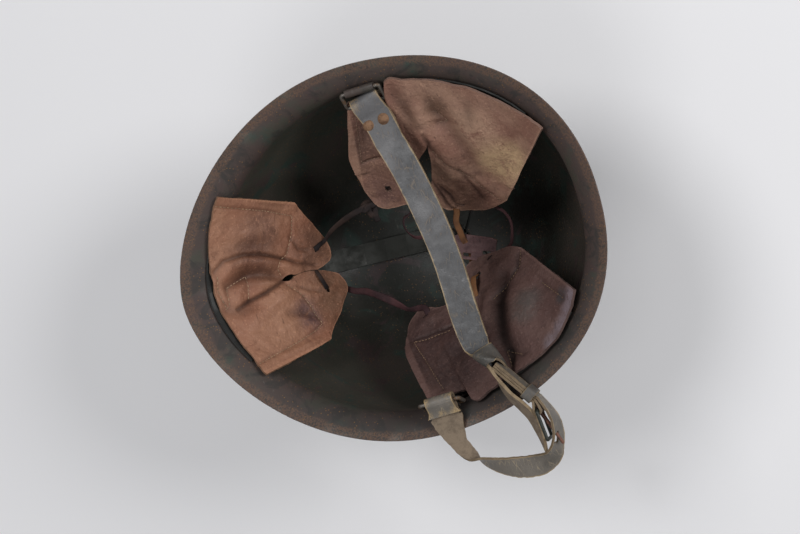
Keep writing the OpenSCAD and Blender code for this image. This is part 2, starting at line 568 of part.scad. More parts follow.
// Thong: drawn through the six slots and tied at the left pad, rows as for the straps
lace_route = [
    [33, -41, -77, 0, 1], [31, -36.5, -76, 0, 1], [31, -32, -75.5, 0, 1],
    [35, -28.5, -76, 0, 1], [44, -25.5, -77.5, 0, 1], [56, -22, -79.5, 0, 1],
    [65, -19.5, -81, 0, 0.9], [69, -18.5, -82, 10, 0.9], [71.5, -16, -83.5, 35, 0.9],
    [71.5, -11, -83.5, 63, 0.9], [71.5, -3, -83, 63, 0.9], [69, 1.5, -82, 63, 0.9],
    [66.5, 6, -80, 63, 0.9], [67, 14, -80, 63, 0.9], [66.5, 17.5, -80.5, 63, 0.9],
    [68, 21.5, -82, 63, 0.9], [70, 26, -83.5, 60, 0.9], [68.5, 29, -87, 50, 0.9],
    [65.5, 29.5, -94, 30, 0.9], [61, 27.5, -100, 10, 0.95], [50, 30, -93, 0, 1], [38, 33, -88, 0, 1],
    [26, 36.5, -83, 10, 1], [16, 38.5, -78, 25, 0.95], [11.5, 42, -74, 47, 0.9],
    [8.5, 41, -74, 47, 0.9], [5, 41.5, -76, 47, 0.9], [1, 41.5, -77.5, 47, 0.9],
    [-4.5, 39.5, -78, 47, 0.9], [-16, 35, -77.5, 47, 0.9], [-27.5, 30.5, -78, 47, 0.9],
    [-33, 28, -77.5, 47, 0.9], [-35.5, 25, -76, 47, 0.9], [-38, 22.5, -74, 47, 0.9],
    [-41.5, 20.5, -74, 47, 0.9], [-45.5, 18, -71, 30, 0.95], [-48, 9, -70.5, 15, 1],
    [-48, -3, -70.5, 15, 1], [-46, -11.5, -70.5, 30, 0.95], [-43, -15.5, -73, 45, 0.9],
    [-40.5, -16.5, -73, 45, 0.9], [-37.5, -19, -75, 45, 0.9], [-34.5, -21.5, -77, 45, 0.9],
    [-29.5, -23.5, -77, 45, 0.9], [-17.5, -27, -76.5, 45, 0.9], [-5.5, -30.5, -77, 45, 0.9],
    [0, -32, -77, 45, 0.9], [3.5, -31.5, -75, 45, 0.9], [7.5, -31, -73, 45, 0.9],
    [11, -31.5, -72, 45, 0.9], [17, -33, -70.5, 25, 0.95], [25, -33.5, -71.5, 0, 1],
    [31, -31, -73, 0, 1], [33, -26, -74, 0, 1], [31.5, -21, -76, 0, 1]
];
lace_section = [for (a = [0 : 45 : 315]) [lace_half_w * cos(a), lace_half_t * sin(a)]];
module liner_lace() color([0.4, 0.25, 0.27])
    loft(turned(swept(smooth_rows(rolled(lace_route), 2), lace_section)));

// Crown: a flat-headed rivet through the shell and the three arms, over a washer
stack_top = sheet - shell_height + eye_lift + 3 * (spring_t + stack_gap);
washer_t = 1;
washer_rim = 4;
crown_head_r = 7.5;
crown_head_h = 1.2;
crown_chamfer = 1.5;
crown_end = 0.05;
module crown_rivet() color([0.3, 0.27, 0.2]) {
    peen = stack_top + washer_t + crown_end;
    translate([0, 0, -shell_height - crown_head_h])
        cylinder(r1 = crown_head_r - crown_chamfer, r2 = crown_head_r, h = crown_head_h, $fn = 64);
    translate([0, 0, -shell_height - crown_head_h / 2])
        cylinder(r = crown_r - rivet_fit, h = peen + shell_height + crown_head_h, $fn = 32);
    translate([0, 0, peen]) cylinder(r1 = crown_r + 1.8, r2 = crown_r + 0.6, h = crown_head_h, $fn = 32);
}
module crown_washer() color([0.4, 0.4, 0.42]) translate([0, 0, stack_top + stack_gap]) difference() {
    cylinder(r = crown_r + washer_rim, h = washer_t, $fn = 64);
    translate([0, 0, -1]) cylinder(r = crown_r + hole_play, h = washer_t + 2, $fn = 32);
}
module bracket_left() bracket(-1);
module bracket_right() bracket(1);

shell();
carrier_front();
carrier_left();
carrier_right();
crown_rivet();
crown_washer();
pad_front();
pad_left();
pad_right();
cushion_front();
cushion_left();
cushion_right();
liner_lace();
bracket_left();
bracket_right();
bracket_rivets();
ring_left();
ring_right();
long_strap();
long_strap_rivets();
short_strap();
keeper_upper();
keeper_lower();
buckle_chape();
buckle_frame();
buckle_prong();
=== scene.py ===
from math import asin, atan2, copysign, cos, exp, hypot, pi, radians, sin, sqrt

import bmesh
import bpy
from mathutils import Matrix, Vector
from mathutils.noise import noise


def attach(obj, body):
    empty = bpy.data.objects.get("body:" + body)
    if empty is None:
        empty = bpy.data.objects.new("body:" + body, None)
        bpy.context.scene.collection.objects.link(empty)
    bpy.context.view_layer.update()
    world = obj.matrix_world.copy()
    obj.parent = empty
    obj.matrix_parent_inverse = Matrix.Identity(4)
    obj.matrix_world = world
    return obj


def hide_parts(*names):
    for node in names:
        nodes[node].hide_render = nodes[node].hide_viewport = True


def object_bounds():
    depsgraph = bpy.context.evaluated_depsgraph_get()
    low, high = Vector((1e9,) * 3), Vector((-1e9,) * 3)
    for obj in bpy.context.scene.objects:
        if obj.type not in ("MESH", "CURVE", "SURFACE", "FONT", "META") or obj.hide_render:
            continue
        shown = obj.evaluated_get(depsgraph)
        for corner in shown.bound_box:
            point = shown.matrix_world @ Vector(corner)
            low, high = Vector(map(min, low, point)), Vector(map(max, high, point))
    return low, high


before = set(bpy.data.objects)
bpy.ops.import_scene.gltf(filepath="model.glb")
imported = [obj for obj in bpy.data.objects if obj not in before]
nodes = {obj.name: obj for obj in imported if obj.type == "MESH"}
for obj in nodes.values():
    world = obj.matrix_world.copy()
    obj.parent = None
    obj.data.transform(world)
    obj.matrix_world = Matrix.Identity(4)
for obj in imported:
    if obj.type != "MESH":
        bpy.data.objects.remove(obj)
cad_low, cad_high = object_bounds()

# Camera. The helmet lies on its crown and is seen into its opening, from a little behind,
# and turned so that its front lies to the left. The lens and its shift are set for a frame 800 wide and 534
# high.
view_tilt, view_roll, view_distance = radians(19), radians(-15.23), 0.95
lens_data = bpy.data.cameras.new("camera")
lens_data.lens, lens_data.sensor_width = 66.73, 36
lens_data.shift_x, lens_data.shift_y = 0.0163, -0.0191
camera = bpy.data.objects.new("camera", lens_data)
bpy.context.scene.collection.objects.link(camera)
view_back = Vector((-sin(view_tilt), 0, cos(view_tilt)))
level_right = Vector((0, -1, 0)).cross(view_back).normalized()
level_up = view_back.cross(level_right)
view_right = cos(view_roll) * level_right + sin(view_roll) * level_up
view_up = cos(view_roll) * level_up - sin(view_roll) * level_right
camera.matrix_world = Matrix.Translation(view_back * view_distance) @ Matrix(
    (view_right, view_up, view_back)).transposed().to_4x4()
bpy.context.scene.camera = camera

# Shell. A deep bowl pressed from one steel sheet, with a low flared brim all round, painted
# inside and out. The paint has worn to rusty brown along the rim. Sizes are millimetres.
MM = 0.001
rim_front, rim_rear, rim_side = 150, 142, 122.5
front_fullness, rear_fullness, dome_fullness = 1.8, 2.17, 2.2
shell_height, sheet = 158, 1.2
flare_depth, flare_front, flare_side, flare_rear = 16, 19, 15.5, 15.5
flare_lean = radians(62)


def flare_width(az):
    along = flare_front if cos(az) > 0 else flare_rear
    return flare_side * sin(az) ** 2 + along * cos(az) ** 2


def root_radius(az):
    length = (rim_front + rim_rear) / 2 + (rim_front - rim_rear) / 2 * cos(az)
    full = (front_fullness + rear_fullness) / 2 + (front_fullness - rear_fullness) / 2 * cos(az)
    rim = ((abs(cos(az)) / length) ** full + (abs(sin(az)) / rim_side) ** full) ** (-1 / full)
    return rim - flare_width(az)


def flare_reach(lean):
    return (1 - cos(lean)) / (1 - cos(flare_lean))


def wall_radius(az, z, inset=0.0):
    """Radius of the inner wall at a height, moved inward."""
    if z > -flare_depth:
        lean = asin((1 + z / flare_depth) * sin(flare_lean))
        return root_radius(az) + flare_width(az) * flare_reach(lean) - sheet / cos(lean) - inset
    deep = (-flare_depth - z) / (shell_height - flare_depth - sheet - inset)
    return (root_radius(az) - sheet - inset) * (1 - deep ** dome_fullness) ** (1 / dome_fullness)


class Value:
    """The output of a node. Sums and products of values become Math nodes."""

    def __init__(self, finish, socket):
        self.finish, self.socket = finish, socket

    def maths(self, operation, first, second):
        return self.finish.node("ShaderNodeMath", {"operation": operation}, {0: first, 1: second})

    def __add__(self, other): return self.maths("ADD", self, other)
    def __radd__(self, other): return self.maths("ADD", other, self)
    def __sub__(self, other): return self.maths("SUBTRACT", self, other)
    def __rsub__(self, other): return self.maths("SUBTRACT", other, self)
    def __mul__(self, other): return self.maths("MULTIPLY", self, other)
    def __rmul__(self, other): return self.maths("MULTIPLY", other, self)


class Finish:
    """A material being built on its Principled shader."""

    def __init__(self, name, **constants):
        self.material = bpy.data.materials.new(name)
        self.material.use_nodes = True
        self.tree = self.material.node_tree
        self.shader = self.tree.nodes["Principled BSDF"]
        for socket, value in constants.items():
            self.shader.inputs[socket.replace("_", " ")].default_value = value
        self.place = self.node("ShaderNodeTexCoord", out="Object")

    def node(self, kind, settings=None, inputs=None, out=0):
        made = self.tree.nodes.new(kind)
        for key, value in (settings or {}).items():
            setattr(made, key, value)
        for key, value in (inputs or {}).items():
            self.join(made.inputs[key], value)
        return Value(self, made.outputs[out])

    def join(self, socket, value):
        if isinstance(value, Value):
            self.tree.links.new(value.socket, socket)
        elif socket.type == "RGBA":
            socket.default_value = (*value, 1)
        else:
            socket.default_value = value

    def cloud(self, scale, detail=4, rough=0.55, bend=0.0, place=None):
        return self.node("ShaderNodeTexNoise", {"noise_dimensions": "3D"}, {
            "Vector": place or self.place, "Scale": scale, "Detail": detail,
            "Roughness": rough, "Distortion": bend})

    def cells(self, scale, feature="F1", out="Distance", place=None):
        return self.node("ShaderNodeTexVoronoi", {"feature": feature}, {
            "Vector": place or self.place, "Scale": scale}, out)

    def step(self, value, low, high, to_low=0.0, to_high=1.0):
        return self.node("ShaderNodeMapRange", {"interpolation_type": "SMOOTHSTEP", "clamp": True}, {
            "Value": value, "From Min": low, "From Max": high, "To Min": to_low, "To Max": to_high})

    def near(self, point, inner, outer):
        """1 within inner of a point, 0 beyond outer, in millimetres."""
        gap = self.node("ShaderNodeVectorMath", {"operation": "DISTANCE"}, {
            0: self.place, 1: tuple(c * MM for c in point)}, "Value")
        return self.step(gap, inner * MM, outer * MM, 1.0, 0.0)

    def mark(self, name):
        return self.node("ShaderNodeAttribute", {"attribute_name": name}, out="Fac")

    def mix(self, first, second, share):
        return self.node("ShaderNodeMix", {"data_type": "RGBA"}, {0: share, 6: first, 7: second}, 2)

    def over(self, tint, share):
        """Lays a tint over the colour so far."""
        self.colour = self.mix(self.colour, tint, share)

    def height(self, axis):
        return self.node("ShaderNodeSeparateXYZ", inputs={0: self.place}, out=axis)

    def stretched(self, turn, scale):
        return self.node("ShaderNodeMapping", inputs={
            "Vector": self.place, "Rotation": turn, "Scale": scale})

    def done(self, colour, rough, bumps=()):
        """Joins the colour, the roughness and bumps of (height value, depth in millimetres)."""
        self.join(self.shader.inputs["Base Color"], colour)
        self.join(self.shader.inputs["Roughness"], rough)
        normal = None
        for value, depth in bumps:
            inputs = {"Height": value, "Distance": depth * MM, "Strength": 1.0}
            if normal:
                inputs["Normal"] = normal
            normal = self.node("ShaderNodeBump", inputs=inputs)
        if normal:
            self.join(self.shader.inputs["Normal"], normal)
        return self.material


def steel_paint(name, rust_from, rust_share):
    """Dark olive paint, rusty brown above a height, with fine specks. Teal patches are painted reflections,
    and painted shade darkens it deep in the bowl and towards +y.
    """
    f = Finish(name, Specular_IOR_Level=0.3)
    broad, mid, fine = f.cloud(16, 5), f.cloud(60, 5, 0.6), f.cloud(900, 3)
    f.colour = f.mix((0.057, 0.056, 0.044), (0.068, 0.056, 0.047), f.step(broad, 0.38, 0.62))
    # Painted shade: darker deep in the bowl, from 50 mm below the rim to near black at 120 mm
    f.colour = f.mix((0.024, 0.025, 0.021), f.colour, f.step(f.height(2) + broad * 0.05, -0.12, -0.05))
    # Painted reflection: teal patches on the paint stand in for reflections
    f.over((0.032, 0.058, 0.048), f.step(f.cloud(27, 4, 0.6, 1.0), 0.53, 0.66) * 0.75)
    f.over((0.07, 0.042, 0.045), f.step(f.cloud(38, 4, 0.6, 0.8), 0.56, 0.68) * 0.6)
    rim = f.step(f.height(2) + broad * 0.01 + mid * 0.014, rust_from * MM, (rust_from + 11) * MM)
    worn = f.step(mid * 0.6 + broad * 0.4 + rim * 0.14, 0.5, 0.66) * (rim * 0.8 + 0.2) * rust_share
    f.over((0.066, 0.044, 0.04), worn)
    f.over((0.034, 0.031, 0.029), rim * f.step(f.cloud(45, 5, 0.65, 1.4), 0.5, 0.62) * 0.75)
    # Painted shade: the paint darkens towards +y, and the rim more strongly
    f.over((0.04, 0.035, 0.033), f.step(f.height(1), 0.02, 0.13) * 0.4)
    f.over((0.022, 0.02, 0.02), rim * f.step(f.height(1), 0.06, 0.12) * 0.4)
    edge = f.step(f.height(2) + mid * 0.003, -0.2 * MM, 1.0 * MM) * f.step(fine, 0.35, 0.6)
    f.over((0.13, 0.075, 0.05), edge * 0.7)
    specks = f.step(f.cells(420), 0.22, 0.12) * f.step(mid, 0.44, 0.58)
    f.over((0.2, 0.105, 0.04), specks * 0.75)
    scuffs = f.step(f.cloud(420, 4, 0.7, place=f.stretched((0.3, 0.2, 0.7), (1, 0.16, 1))), 0.62, 0.74)
    f.over((0.12, 0.105, 0.095), scuffs * 0.5)
    return f.done(f.colour, f.step(mid + worn * 0.3, 0.35, 0.8, 0.4, 0.62), [
        (broad, 0.6), (fine + specks * 0.6 + mid, 0.1)])


shell_paint = steel_paint("shell_paint", -9, 0.8)


def piece(name, bm, body, finishes, stands_for=()):
    """Turns millimetres into metres and makes the object."""
    bmesh.ops.scale(bm, vec=(MM, MM, MM), verts=bm.verts)
    mesh = bpy.data.meshes.new(name)
    bm.to_mesh(mesh)
    bm.free()
    for finish in finishes:
        mesh.materials.append(finish)
    mesh.shade_smooth()
    made = bpy.data.objects.new(name, mesh)
    bpy.context.scene.collection.objects.link(made)
    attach(made, body)
    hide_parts(*stands_for)
    return made


edge_segments, edge_angle = 2, radians(50)


def thicken(made, thickness, offset, back=0, rim=0, edge=0.3, even=True):
    """Gives a skin its thickness and soft edges, with other finishes behind and on the cut edge."""
    wall = made.modifiers.new("wall", "SOLIDIFY")
    wall.thickness, wall.offset, wall.use_even_offset = thickness * MM, offset, even
    wall.material_offset, wall.material_offset_rim = back, rim
    soft = made.modifiers.new("soft_edge", "BEVEL")
    soft.width, soft.segments, soft.limit_method = edge * MM, edge_segments, "ANGLE"
    soft.angle_limit, soft.harden_normals = edge_angle, True


def face_out(bm, place, way):
    """Turns all faces so that the one nearest to a place looks along a way."""
    bmesh.ops.recalc_face_normals(bm, faces=bm.faces)
    nearest = min(bm.faces, key=lambda face: (face.calc_center_median() - place).length)
    if nearest.normal.dot(way) < 0:
        bmesh.ops.reverse_faces(bm, faces=bm.faces)


shell_bm = bmesh.new()
flare_steps, dome_steps, round_steps = 12, 44, 176
outline = []
for k in range(flare_steps):
    lean = flare_lean * (1 - k / flare_steps)
    outline.append((root_radius(0) + flare_width(0) * flare_reach(lean),
                    -flare_depth * (1 - sin(lean) / sin(flare_lean))))
for k in range(dome_steps + 1):
    fall = pi / 2 * k / dome_steps
    outline.append((root_radius(0) * max(0.0, cos(fall)) ** (2 / dome_fullness),
                    -flare_depth - (shell_height - flare_depth) * sin(fall) ** (2 / dome_fullness)))
outline[-1] = (0.0, -shell_height)
line = [shell_bm.verts.new((r, 0, z)) for r, z in outline]
edges = [shell_bm.edges.new(pair) for pair in zip(line, line[1:])]
bmesh.ops.spin(shell_bm, geom=line + edges, cent=(0, 0, 0), axis=(0, 0, 1), angle=2 * pi,
               steps=round_steps, use_merge=True)
bmesh.ops.remove_doubles(shell_bm, verts=shell_bm.verts, dist=0.01)
for v in shell_bm.verts:
    r, az = hypot(v.co.x, v.co.y), atan2(v.co.y, v.co.x)
    if r > 0.01:
        share = min(r, root_radius(0)) / root_radius(0)
        far = root_radius(az) * share + flare_width(az) * max(0.0, r - root_radius(0)) / flare_width(0)
        v.co.x, v.co.y = far * cos(az), far * sin(az)
bmesh.ops.recalc_face_normals(shell_bm, faces=shell_bm.faces)
shell = piece("shell_skin", shell_bm, "helmet", [shell_paint], ["shell"])
thicken(shell, sheet, -1, edge=0.35)


def dress(name, finish):
    slots = nodes[name].material_slots
    for s in slots:
        s.material = finish
    if not slots:
        nodes[name].data.materials.append(finish)


# Painted shade: the carriers turn near black above 30 mm below the rim, where the gap behind the pads lies
# in shadow
f = Finish("spring_steel", Metallic=0.3)
stain = f.cloud(70, 5, 0.6)
spring_steel = f.done(f.mix((0.028, 0.029, 0.024), (0.012, 0.012, 0.011),
                            f.step(f.height(2), -0.07, -0.03)),
                      f.step(stain, 0.3, 0.7, 0.45, 0.75), [(f.cloud(1200, 3), 0.05)])
for name in ("carrier_front", "carrier_left", "carrier_right", "crown_washer"):
    dress(name, spring_steel)
rivet_paint = steel_paint("rivet_paint", -400, 0.5)
dress("crown_rivet", rivet_paint)

# Pads. Each is one piece of vegetable-tanned leather folded over its carrier, slit into two
# tongues that the laces draw together. A pocket for the felt is stitched below the hem.
pad_gap, leather = 4.3, 1.8
pad_width, pad_length = 45, 95
# Places on a pad: u from -1 to 1 across it, k from 0 at the hem towards 1 at the tips
PADS = {
    "front": dict(
        wall=-2, half=29.5, tip=2, tip_r=64, low=-12, tip_half=43, shift=0, length=98,
        hem=[(-1, .2), (-.69, -1), (-.44, -2.5), (-.23, -4.1), (.07, -5.6), (.5, -5.5), (.82, -4),
             (1, -2.2)],
        reach=[(-1, .59), (-.9, .66), (-.8, .71), (-.68, .79), (-.5, .875), (-.38, .90), (-.25, .905),
               (-.13, .88), (-.05, .80), (-.01, .75), (.01, .79), (.07, .905), (.17, .945), (.3, .965),
               (.4, .945), (.53, .885), (.7, .81), (.85, .70), (1, .60)],
        sides=([(0, 1.0), (.3, 1.02), (.6, 1.03)], [(0, 1.04), (.4, 1.03), (.6, 1.0)]),
        slit=.455, lean=[(.455, .03), (.55, .0), (.65, -.03), (.8, -.01)],
        gap=[(.455, 0), (.485, .03), (.52, .03), (.55, .004), (.75, .004), (.9, .02)]),
    "left": dict(
        wall=-122.5, half=35, tip=-106, tip_r=22, low=-20, tip_half=46, shift=-7, length=104,
        hem=[(-1, -.8), (-.78, -2.6), (-.58, -3.7), (-.3, -3), (0, -2.3), (.33, -1.8), (.5, -1.6),
             (.585, -13), (1, -14)],
        reach=[(-1, .80), (-.95, .87), (-.85, .94), (-.7, .98), (-.5, 1.0), (-.3, 1.0), (-.15, .97),
               (-.02, .90), (.02, .82), (.1, .89), (.25, .93), (.4, .955), (.6, .985), (.78, .975),
               (.9, .93), (1, .79)],
        sides=([(0, 1.01), (.5, 1.02), (.8, 1.03)],
               [(0, 1.0), (.1, 1.03), (.3, 1.08), (.45, 1.12), (.6, 1.08), (.8, 1.0)]),
        slit=.40, lean=[(.4, .08), (.52, .12), (.7, .12), (.9, .1)],
        gap=[(.4, 0), (.44, .012), (.52, .07), (.62, .085), (.8, .07), (.95, .08)]),
    "right": dict(
        wall=121.5, half=32, tip=112, tip_r=30, low=-20, tip_half=47, shift=0, length=98,
        hem=[(-1, -12.5), (-.59, -12), (-.5, -1.4), (-.3, -1.9), (.02, -2.9), (.33, -1.6), (.52, -1.1),
             (.73, -1.7), (.91, -2.5), (1, -3.4)],
        reach=[(-1, .70), (-.95, .80), (-.85, .86), (-.7, .885), (-.55, .88), (-.4, .84), (-.25, .78),
               (-.02, .74), (.02, .80), (.12, .92), (.25, .98), (.4, .985), (.55, .94), (.75, .88),
               (.92, .83), (1, .70)],
        sides=([(0, 1.05), (.15, 1.08), (.35, 1.1), (.58, 1.09), (.75, 1.0)], [(0, 1.02), (.7, 1.03)]),
        slit=.49, lean=[(.49, .06), (.6, .02), (.8, -.06)],
        gap=[(.49, 0), (.52, .02), (.65, .07), (.8, .13)]),
}


def polar(r, az, z):
    return Vector((r * cos(az), r * sin(az), z))


def smooth_step(q):
    q = max(0.0, min(1.0, q))
    return q * q * (3 - 2 * q)


def bent(points, x):
    """Smooth curve through (place, value) pairs, level beyond its ends."""
    last = len(points) - 1
    if x <= points[0][0] or x >= points[last][0]:
        return points[0 if x <= points[0][0] else last][1]
    i = max(j for j in range(last) if points[j][0] <= x)
    (x0, y0), (x1, y1) = points[i], points[i + 1]
    slopes = []
    for j in (i, i + 1):
        (a, b), (c, d) = points[max(0, j - 1)], points[min(last, j + 1)]
        slopes.append((d - b) / (c - a) * (x1 - x0))
    t = (x - x0) / (x1 - x0)
    return (y0 * (1 - t) ** 2 * (1 + 2 * t) + y1 * t * t * (3 - 2 * t)
            + t * (1 - t) * ((1 - t) * slopes[0] - t * slopes[1]))


for p in PADS.values():
    p["hem_r"] = wall_radius(radians(p["wall"]), p["low"], pad_gap + leather)
    p["tip_z"] = p["low"] - sqrt(p["length"] ** 2 - (p["hem_r"] - p["tip_r"]) ** 2)
    out, rise = p["tip_z"] - p["low"], p["hem_r"] - p["tip_r"]
    tip = radians(p["tip"])
    p["normal"] = Vector((out * cos(tip), out * sin(tip), rise)).normalized()


def on_pad(p, u, k, lift=0.0):
    """A point of a pad, lifted off its face."""
    az, tip = radians(p["wall"] + u * p["half"]), radians(p["tip"])
    low = polar(wall_radius(az, p["low"], pad_gap + leather), az, p["low"])
    side = u * p["tip_half"] + p["shift"]
    end = Vector((p["tip_r"] * cos(tip) - side * sin(tip), p["tip_r"] * sin(tip) + side * cos(tip),
                  p["tip_z"]))
    z = bent(p["hem"], u)
    hem = polar(wall_radius(az, min(z - 2.1, -0.1), pad_gap + leather), az, z)
    belly = 5 * sin(pi * max(0.0, min(1.0, k))) * (1 - 0.5 * u * u)
    return low * (1 - k) + end * k + (hem - low) * (1 - k) ** 3 + p["normal"] * (belly + lift)


# Seams as lines of (u, k). Folds as height, half width, painted shade and a line: the leather gathers
# towards the slit, where the laces pull the tongues
SEAMS = {
    "front": [[(-.90, .0), (-.88, .36), (-.83, .58), (-.55, .57), (-.29, .52), (-.21, .45), (-.12, .43),
               (-.02, .46)],
              [(.10, .475), (.27, .56), (.48, .59), (.74, .61), (.80, .53), (.86, .31), (.90, .0)],
              [(.21, .03), (.18, .06), (-.01, .08), (-.1, .22), (.04, .21), (.17, .19)],
              [(-.15, .03), (.0, .02), (.1, .03), (.2, .04)]],
    "left": [[(.03, .45), (-.15, .55), (-.47, .65), (-.73, .76), (-.97, .83)],
             [(.03, .19), (-.12, .25), (-.01, .265)],
             [(.93, .06), (.95, .35), (.97, .52), (.72, .5)]],
    "right": [[(1.0, .69), (.84, .6), (.66, .57), (.38, .55), (.3, .53)],
              [(-.38, .53), (-.7, .565), (-.92, .60), (-.88, .37), (-.83, .06)],
              [(.03, .05), (.07, .17), (.2, .07)], [(.86, .31), (.885, .08)]],
}
FOLDS = {
    "front": [(-1.9, 1.2, .9, [(-.20, .02), (-.30, .08), (-.34, .2), (-.33, .31), (-.28, .41), (-.24, .50),
                               (-.16, .6), (-.1, .74)]),
              (2.6, 3.4, 0, [(-.10, .03), (-.21, .12), (-.24, .22), (-.23, .32), (-.18, .42), (-.13, .5),
                             (-.07, .6)]),
              (-2.8, 2.8, .65, [(-.02, .08), (-.11, .2), (-.10, .3), (-.05, .38), (.01, .46)]),
              (1.3, 2.2, 0, [(.0, .25), (.03, .36), (.03, .44)]),
              (-2.4, 1.2, 1, [(.24, .1), (.19, .18), (.14, .3), (.085, .39), (.04, .46)]),
              (2.4, 5, 0, [(.36, .18), (.28, .33), (.21, .42), (.16, .5)]),
              (-1.6, 3, .4, [(.22, .0), (.28, .12), (.26, .2)]),
              (1.4, 3, 0, [(.62, .3), (.57, .45), (.66, .56)]),
              (-1.3, 3, .5, [(.46, .4), (.5, .5), (.62, .585)]),
              (1.2, 5, 0, [(-.6, .1), (-.58, .35)]), (-1.0, 3.5, .3, [(-.42, .1), (-.48, .3), (-.46, .48)]),
              (-1.0, 1.6, .5, [(-.32, .70), (-.36, .62), (-.52, .56)]),
              (1.0, 2.4, 0, [(-.2, .62), (-.27, .72), (-.25, .85)]),
              (1.6, 6, 0, [(.2, .6), (.38, .86)]), (-.9, 1.6, .4, [(.3, .74), (.24, .64), (.12, .52)]),
              (-.8, 2, .3, [(-.97, .3), (-.96, .5)]), (1.0, 1.8, 0, [(.93, .2), (.93, .5)])],
    "left": [(-3.4, 5, .3, [(.08, .13), (.0, .19), (-.05, .24), (-.2, .32), (-.35, .42), (-.45, .52),
                            (-.52, .62)]),
             (2.6, 6, 0, [(-.03, .44), (-.15, .56), (-.2, .7)]),
             (2.2, 4, 0, [(.2, .18), (.15, .30), (.12, .4)]),
             (-2.2, 4, .6, [(.44, .08), (.32, .18), (.23, .27)]),
             (-1.5, 1.3, .8, [(.13, .33), (.08, .38), (.06, .43)]),
             (-2.0, 1.4, 1, [(.06, .70), (-.08, .80), (-.2, .92), (-.33, 1.0)]),
             (1.8, 1.8, 0, [(.0, .74), (-.16, .86), (-.28, .96)]),
             (-1.6, 1.2, .9, [(-.06, .74), (-.24, .85), (-.36, .96)]),
             (1.2, 2.2, 0, [(-.2, .74), (-.36, .84), (-.46, .97)]),
             (-1.0, 1.4, .5, [(-.3, .6), (-.5, .72), (-.7, .86)]),
             (1.8, 7, 0, [(-.5, .2), (-.8, .4)]), (1.5, 7, 0, [(.45, .5), (.6, .7)]),
             (-1.2, 3, .4, [(-.3, .08), (-.34, .22)]),
             (-.8, 1.2, .4, [(.62, .2), (.68, .48), (.95, .52)]), (-1.2, 4, .4, [(-.6, .75), (-.75, .9)])],
    "right": [(-4.2, 4.2, 1, [(.58, .63), (.47, .54), (.36, .48), (.24, .36), (.12, .22), (.08, .1)]),
              (2.4, 3.2, 0, [(.3, .60), (.2, .52), (.1, .44)]), (2.6, 9, 0, [(.45, .22), (.68, .36)]),
              (-1.6, 2, .6, [(.92, .68), (.8, .60), (.66, .58)]), (1.5, 5, 0, [(.5, .75), (.75, .74)]),
              (-1.4, 2.4, .6, [(.2, .7), (.32, .83)]), (-1.8, 7, .4, [(-.5, .28), (-.3, .38)]),
              (1.4, 5, 0, [(-.75, .3), (-.8, .12)]), (-1.2, 1.6, .7, [(-.1, .55), (-.38, .56), (-.9, .63)]),
              (1.4, 5, 0, [(-.7, .74), (-.4, .72)]), (-1.0, 2, .4, [(-.96, .5), (-.93, .1)]),
              (-1.2, 1.3, .7, [(.12, .15), (.02, .02)])],
}
SLOTS = {"front": [(-.32, .765, .05, .012), (.30, .775, .045, .016)],
         "left": [(.62, .79, .055, .03), (-.42, .93, .06, .01)],
         "right": [(.31, .82, .06, .018), (-.55, .785, .06, .012), (.62, .87, .05, .01)]}


def off_line(u, k, line):
    """Distance in millimetres from a line on the leather, and how far along it that is."""
    best = (1e9, 0)
    for i, ((a, b), (c, d)) in enumerate(zip(line, line[1:])):
        x, y = (u - a) * pad_width, (k - b) * pad_length
        dx, dy = (c - a) * pad_width, (d - b) * pad_length
        t = max(0.0, min(1.0, (x * dx + y * dy) / (dx * dx + dy * dy)))
        best = min(best, (hypot(x - t * dx, y - t * dy), (i + t) / (len(line) - 1)))
    return best


felt_swell, seam_sink, seam_shade, edge_fold, curl_span = 2.2, 0.6, 0.22, 0.8, 6


def pad_relief(key, u, k, reach):
    """Lift, painted shade along sunk seams and in fold valleys, and distance from the cut edge: felt
    swells under the leather, seams sink, the side edges are folded double, and free edges curl."""
    seam = min(off_line(u, k, line)[0] for line in SEAMS[key])
    swell = felt_swell * exp(-(u / 0.75) ** 4) * exp(-((k - 0.3) / 0.24) ** 4)
    lift = swell * (1 - exp(-(seam / 5) ** 2)) - seam_sink * exp(-(seam / 1.2) ** 2)
    shade = seam_shade * exp(-(seam / 1.4) ** 2)
    for high, wide, dark, line in FOLDS[key]:
        gap, t = off_line(u, k, line)
        add = exp(-(gap / wide) ** 2) * (0.35 + 0.65 * sin(pi * (0.12 + 0.76 * t)))
        lift += high * add
        shade += dark * add
    lift += edge_fold * smooth_step((abs(u) - 0.88) / 0.035) * (k < 0.62)
    edge = max(0.0, min((1.02 - abs(u)) * pad_width, (reach - k) * pad_length))
    spot = Vector((u * 1.7, k * 2.3, {"front": 1.3, "left": 4.1, "right": 7.7}[key]))
    curl = exp(-(edge / curl_span) ** 2) * smooth_step((k - 0.2) / 0.4)
    lift += curl * (0.8 + 2.6 * noise(spot * 1.4)) + 0.9 * noise(spot * 2.3) + 0.45 * noise(spot * 6) \
        + 0.2 * noise(spot * 17) + 0.09 * noise(spot * 40)
    return lift, min(1.0, shade), edge


def toned(colour, share):
    return tuple(min(1, c * share) for c in colour)


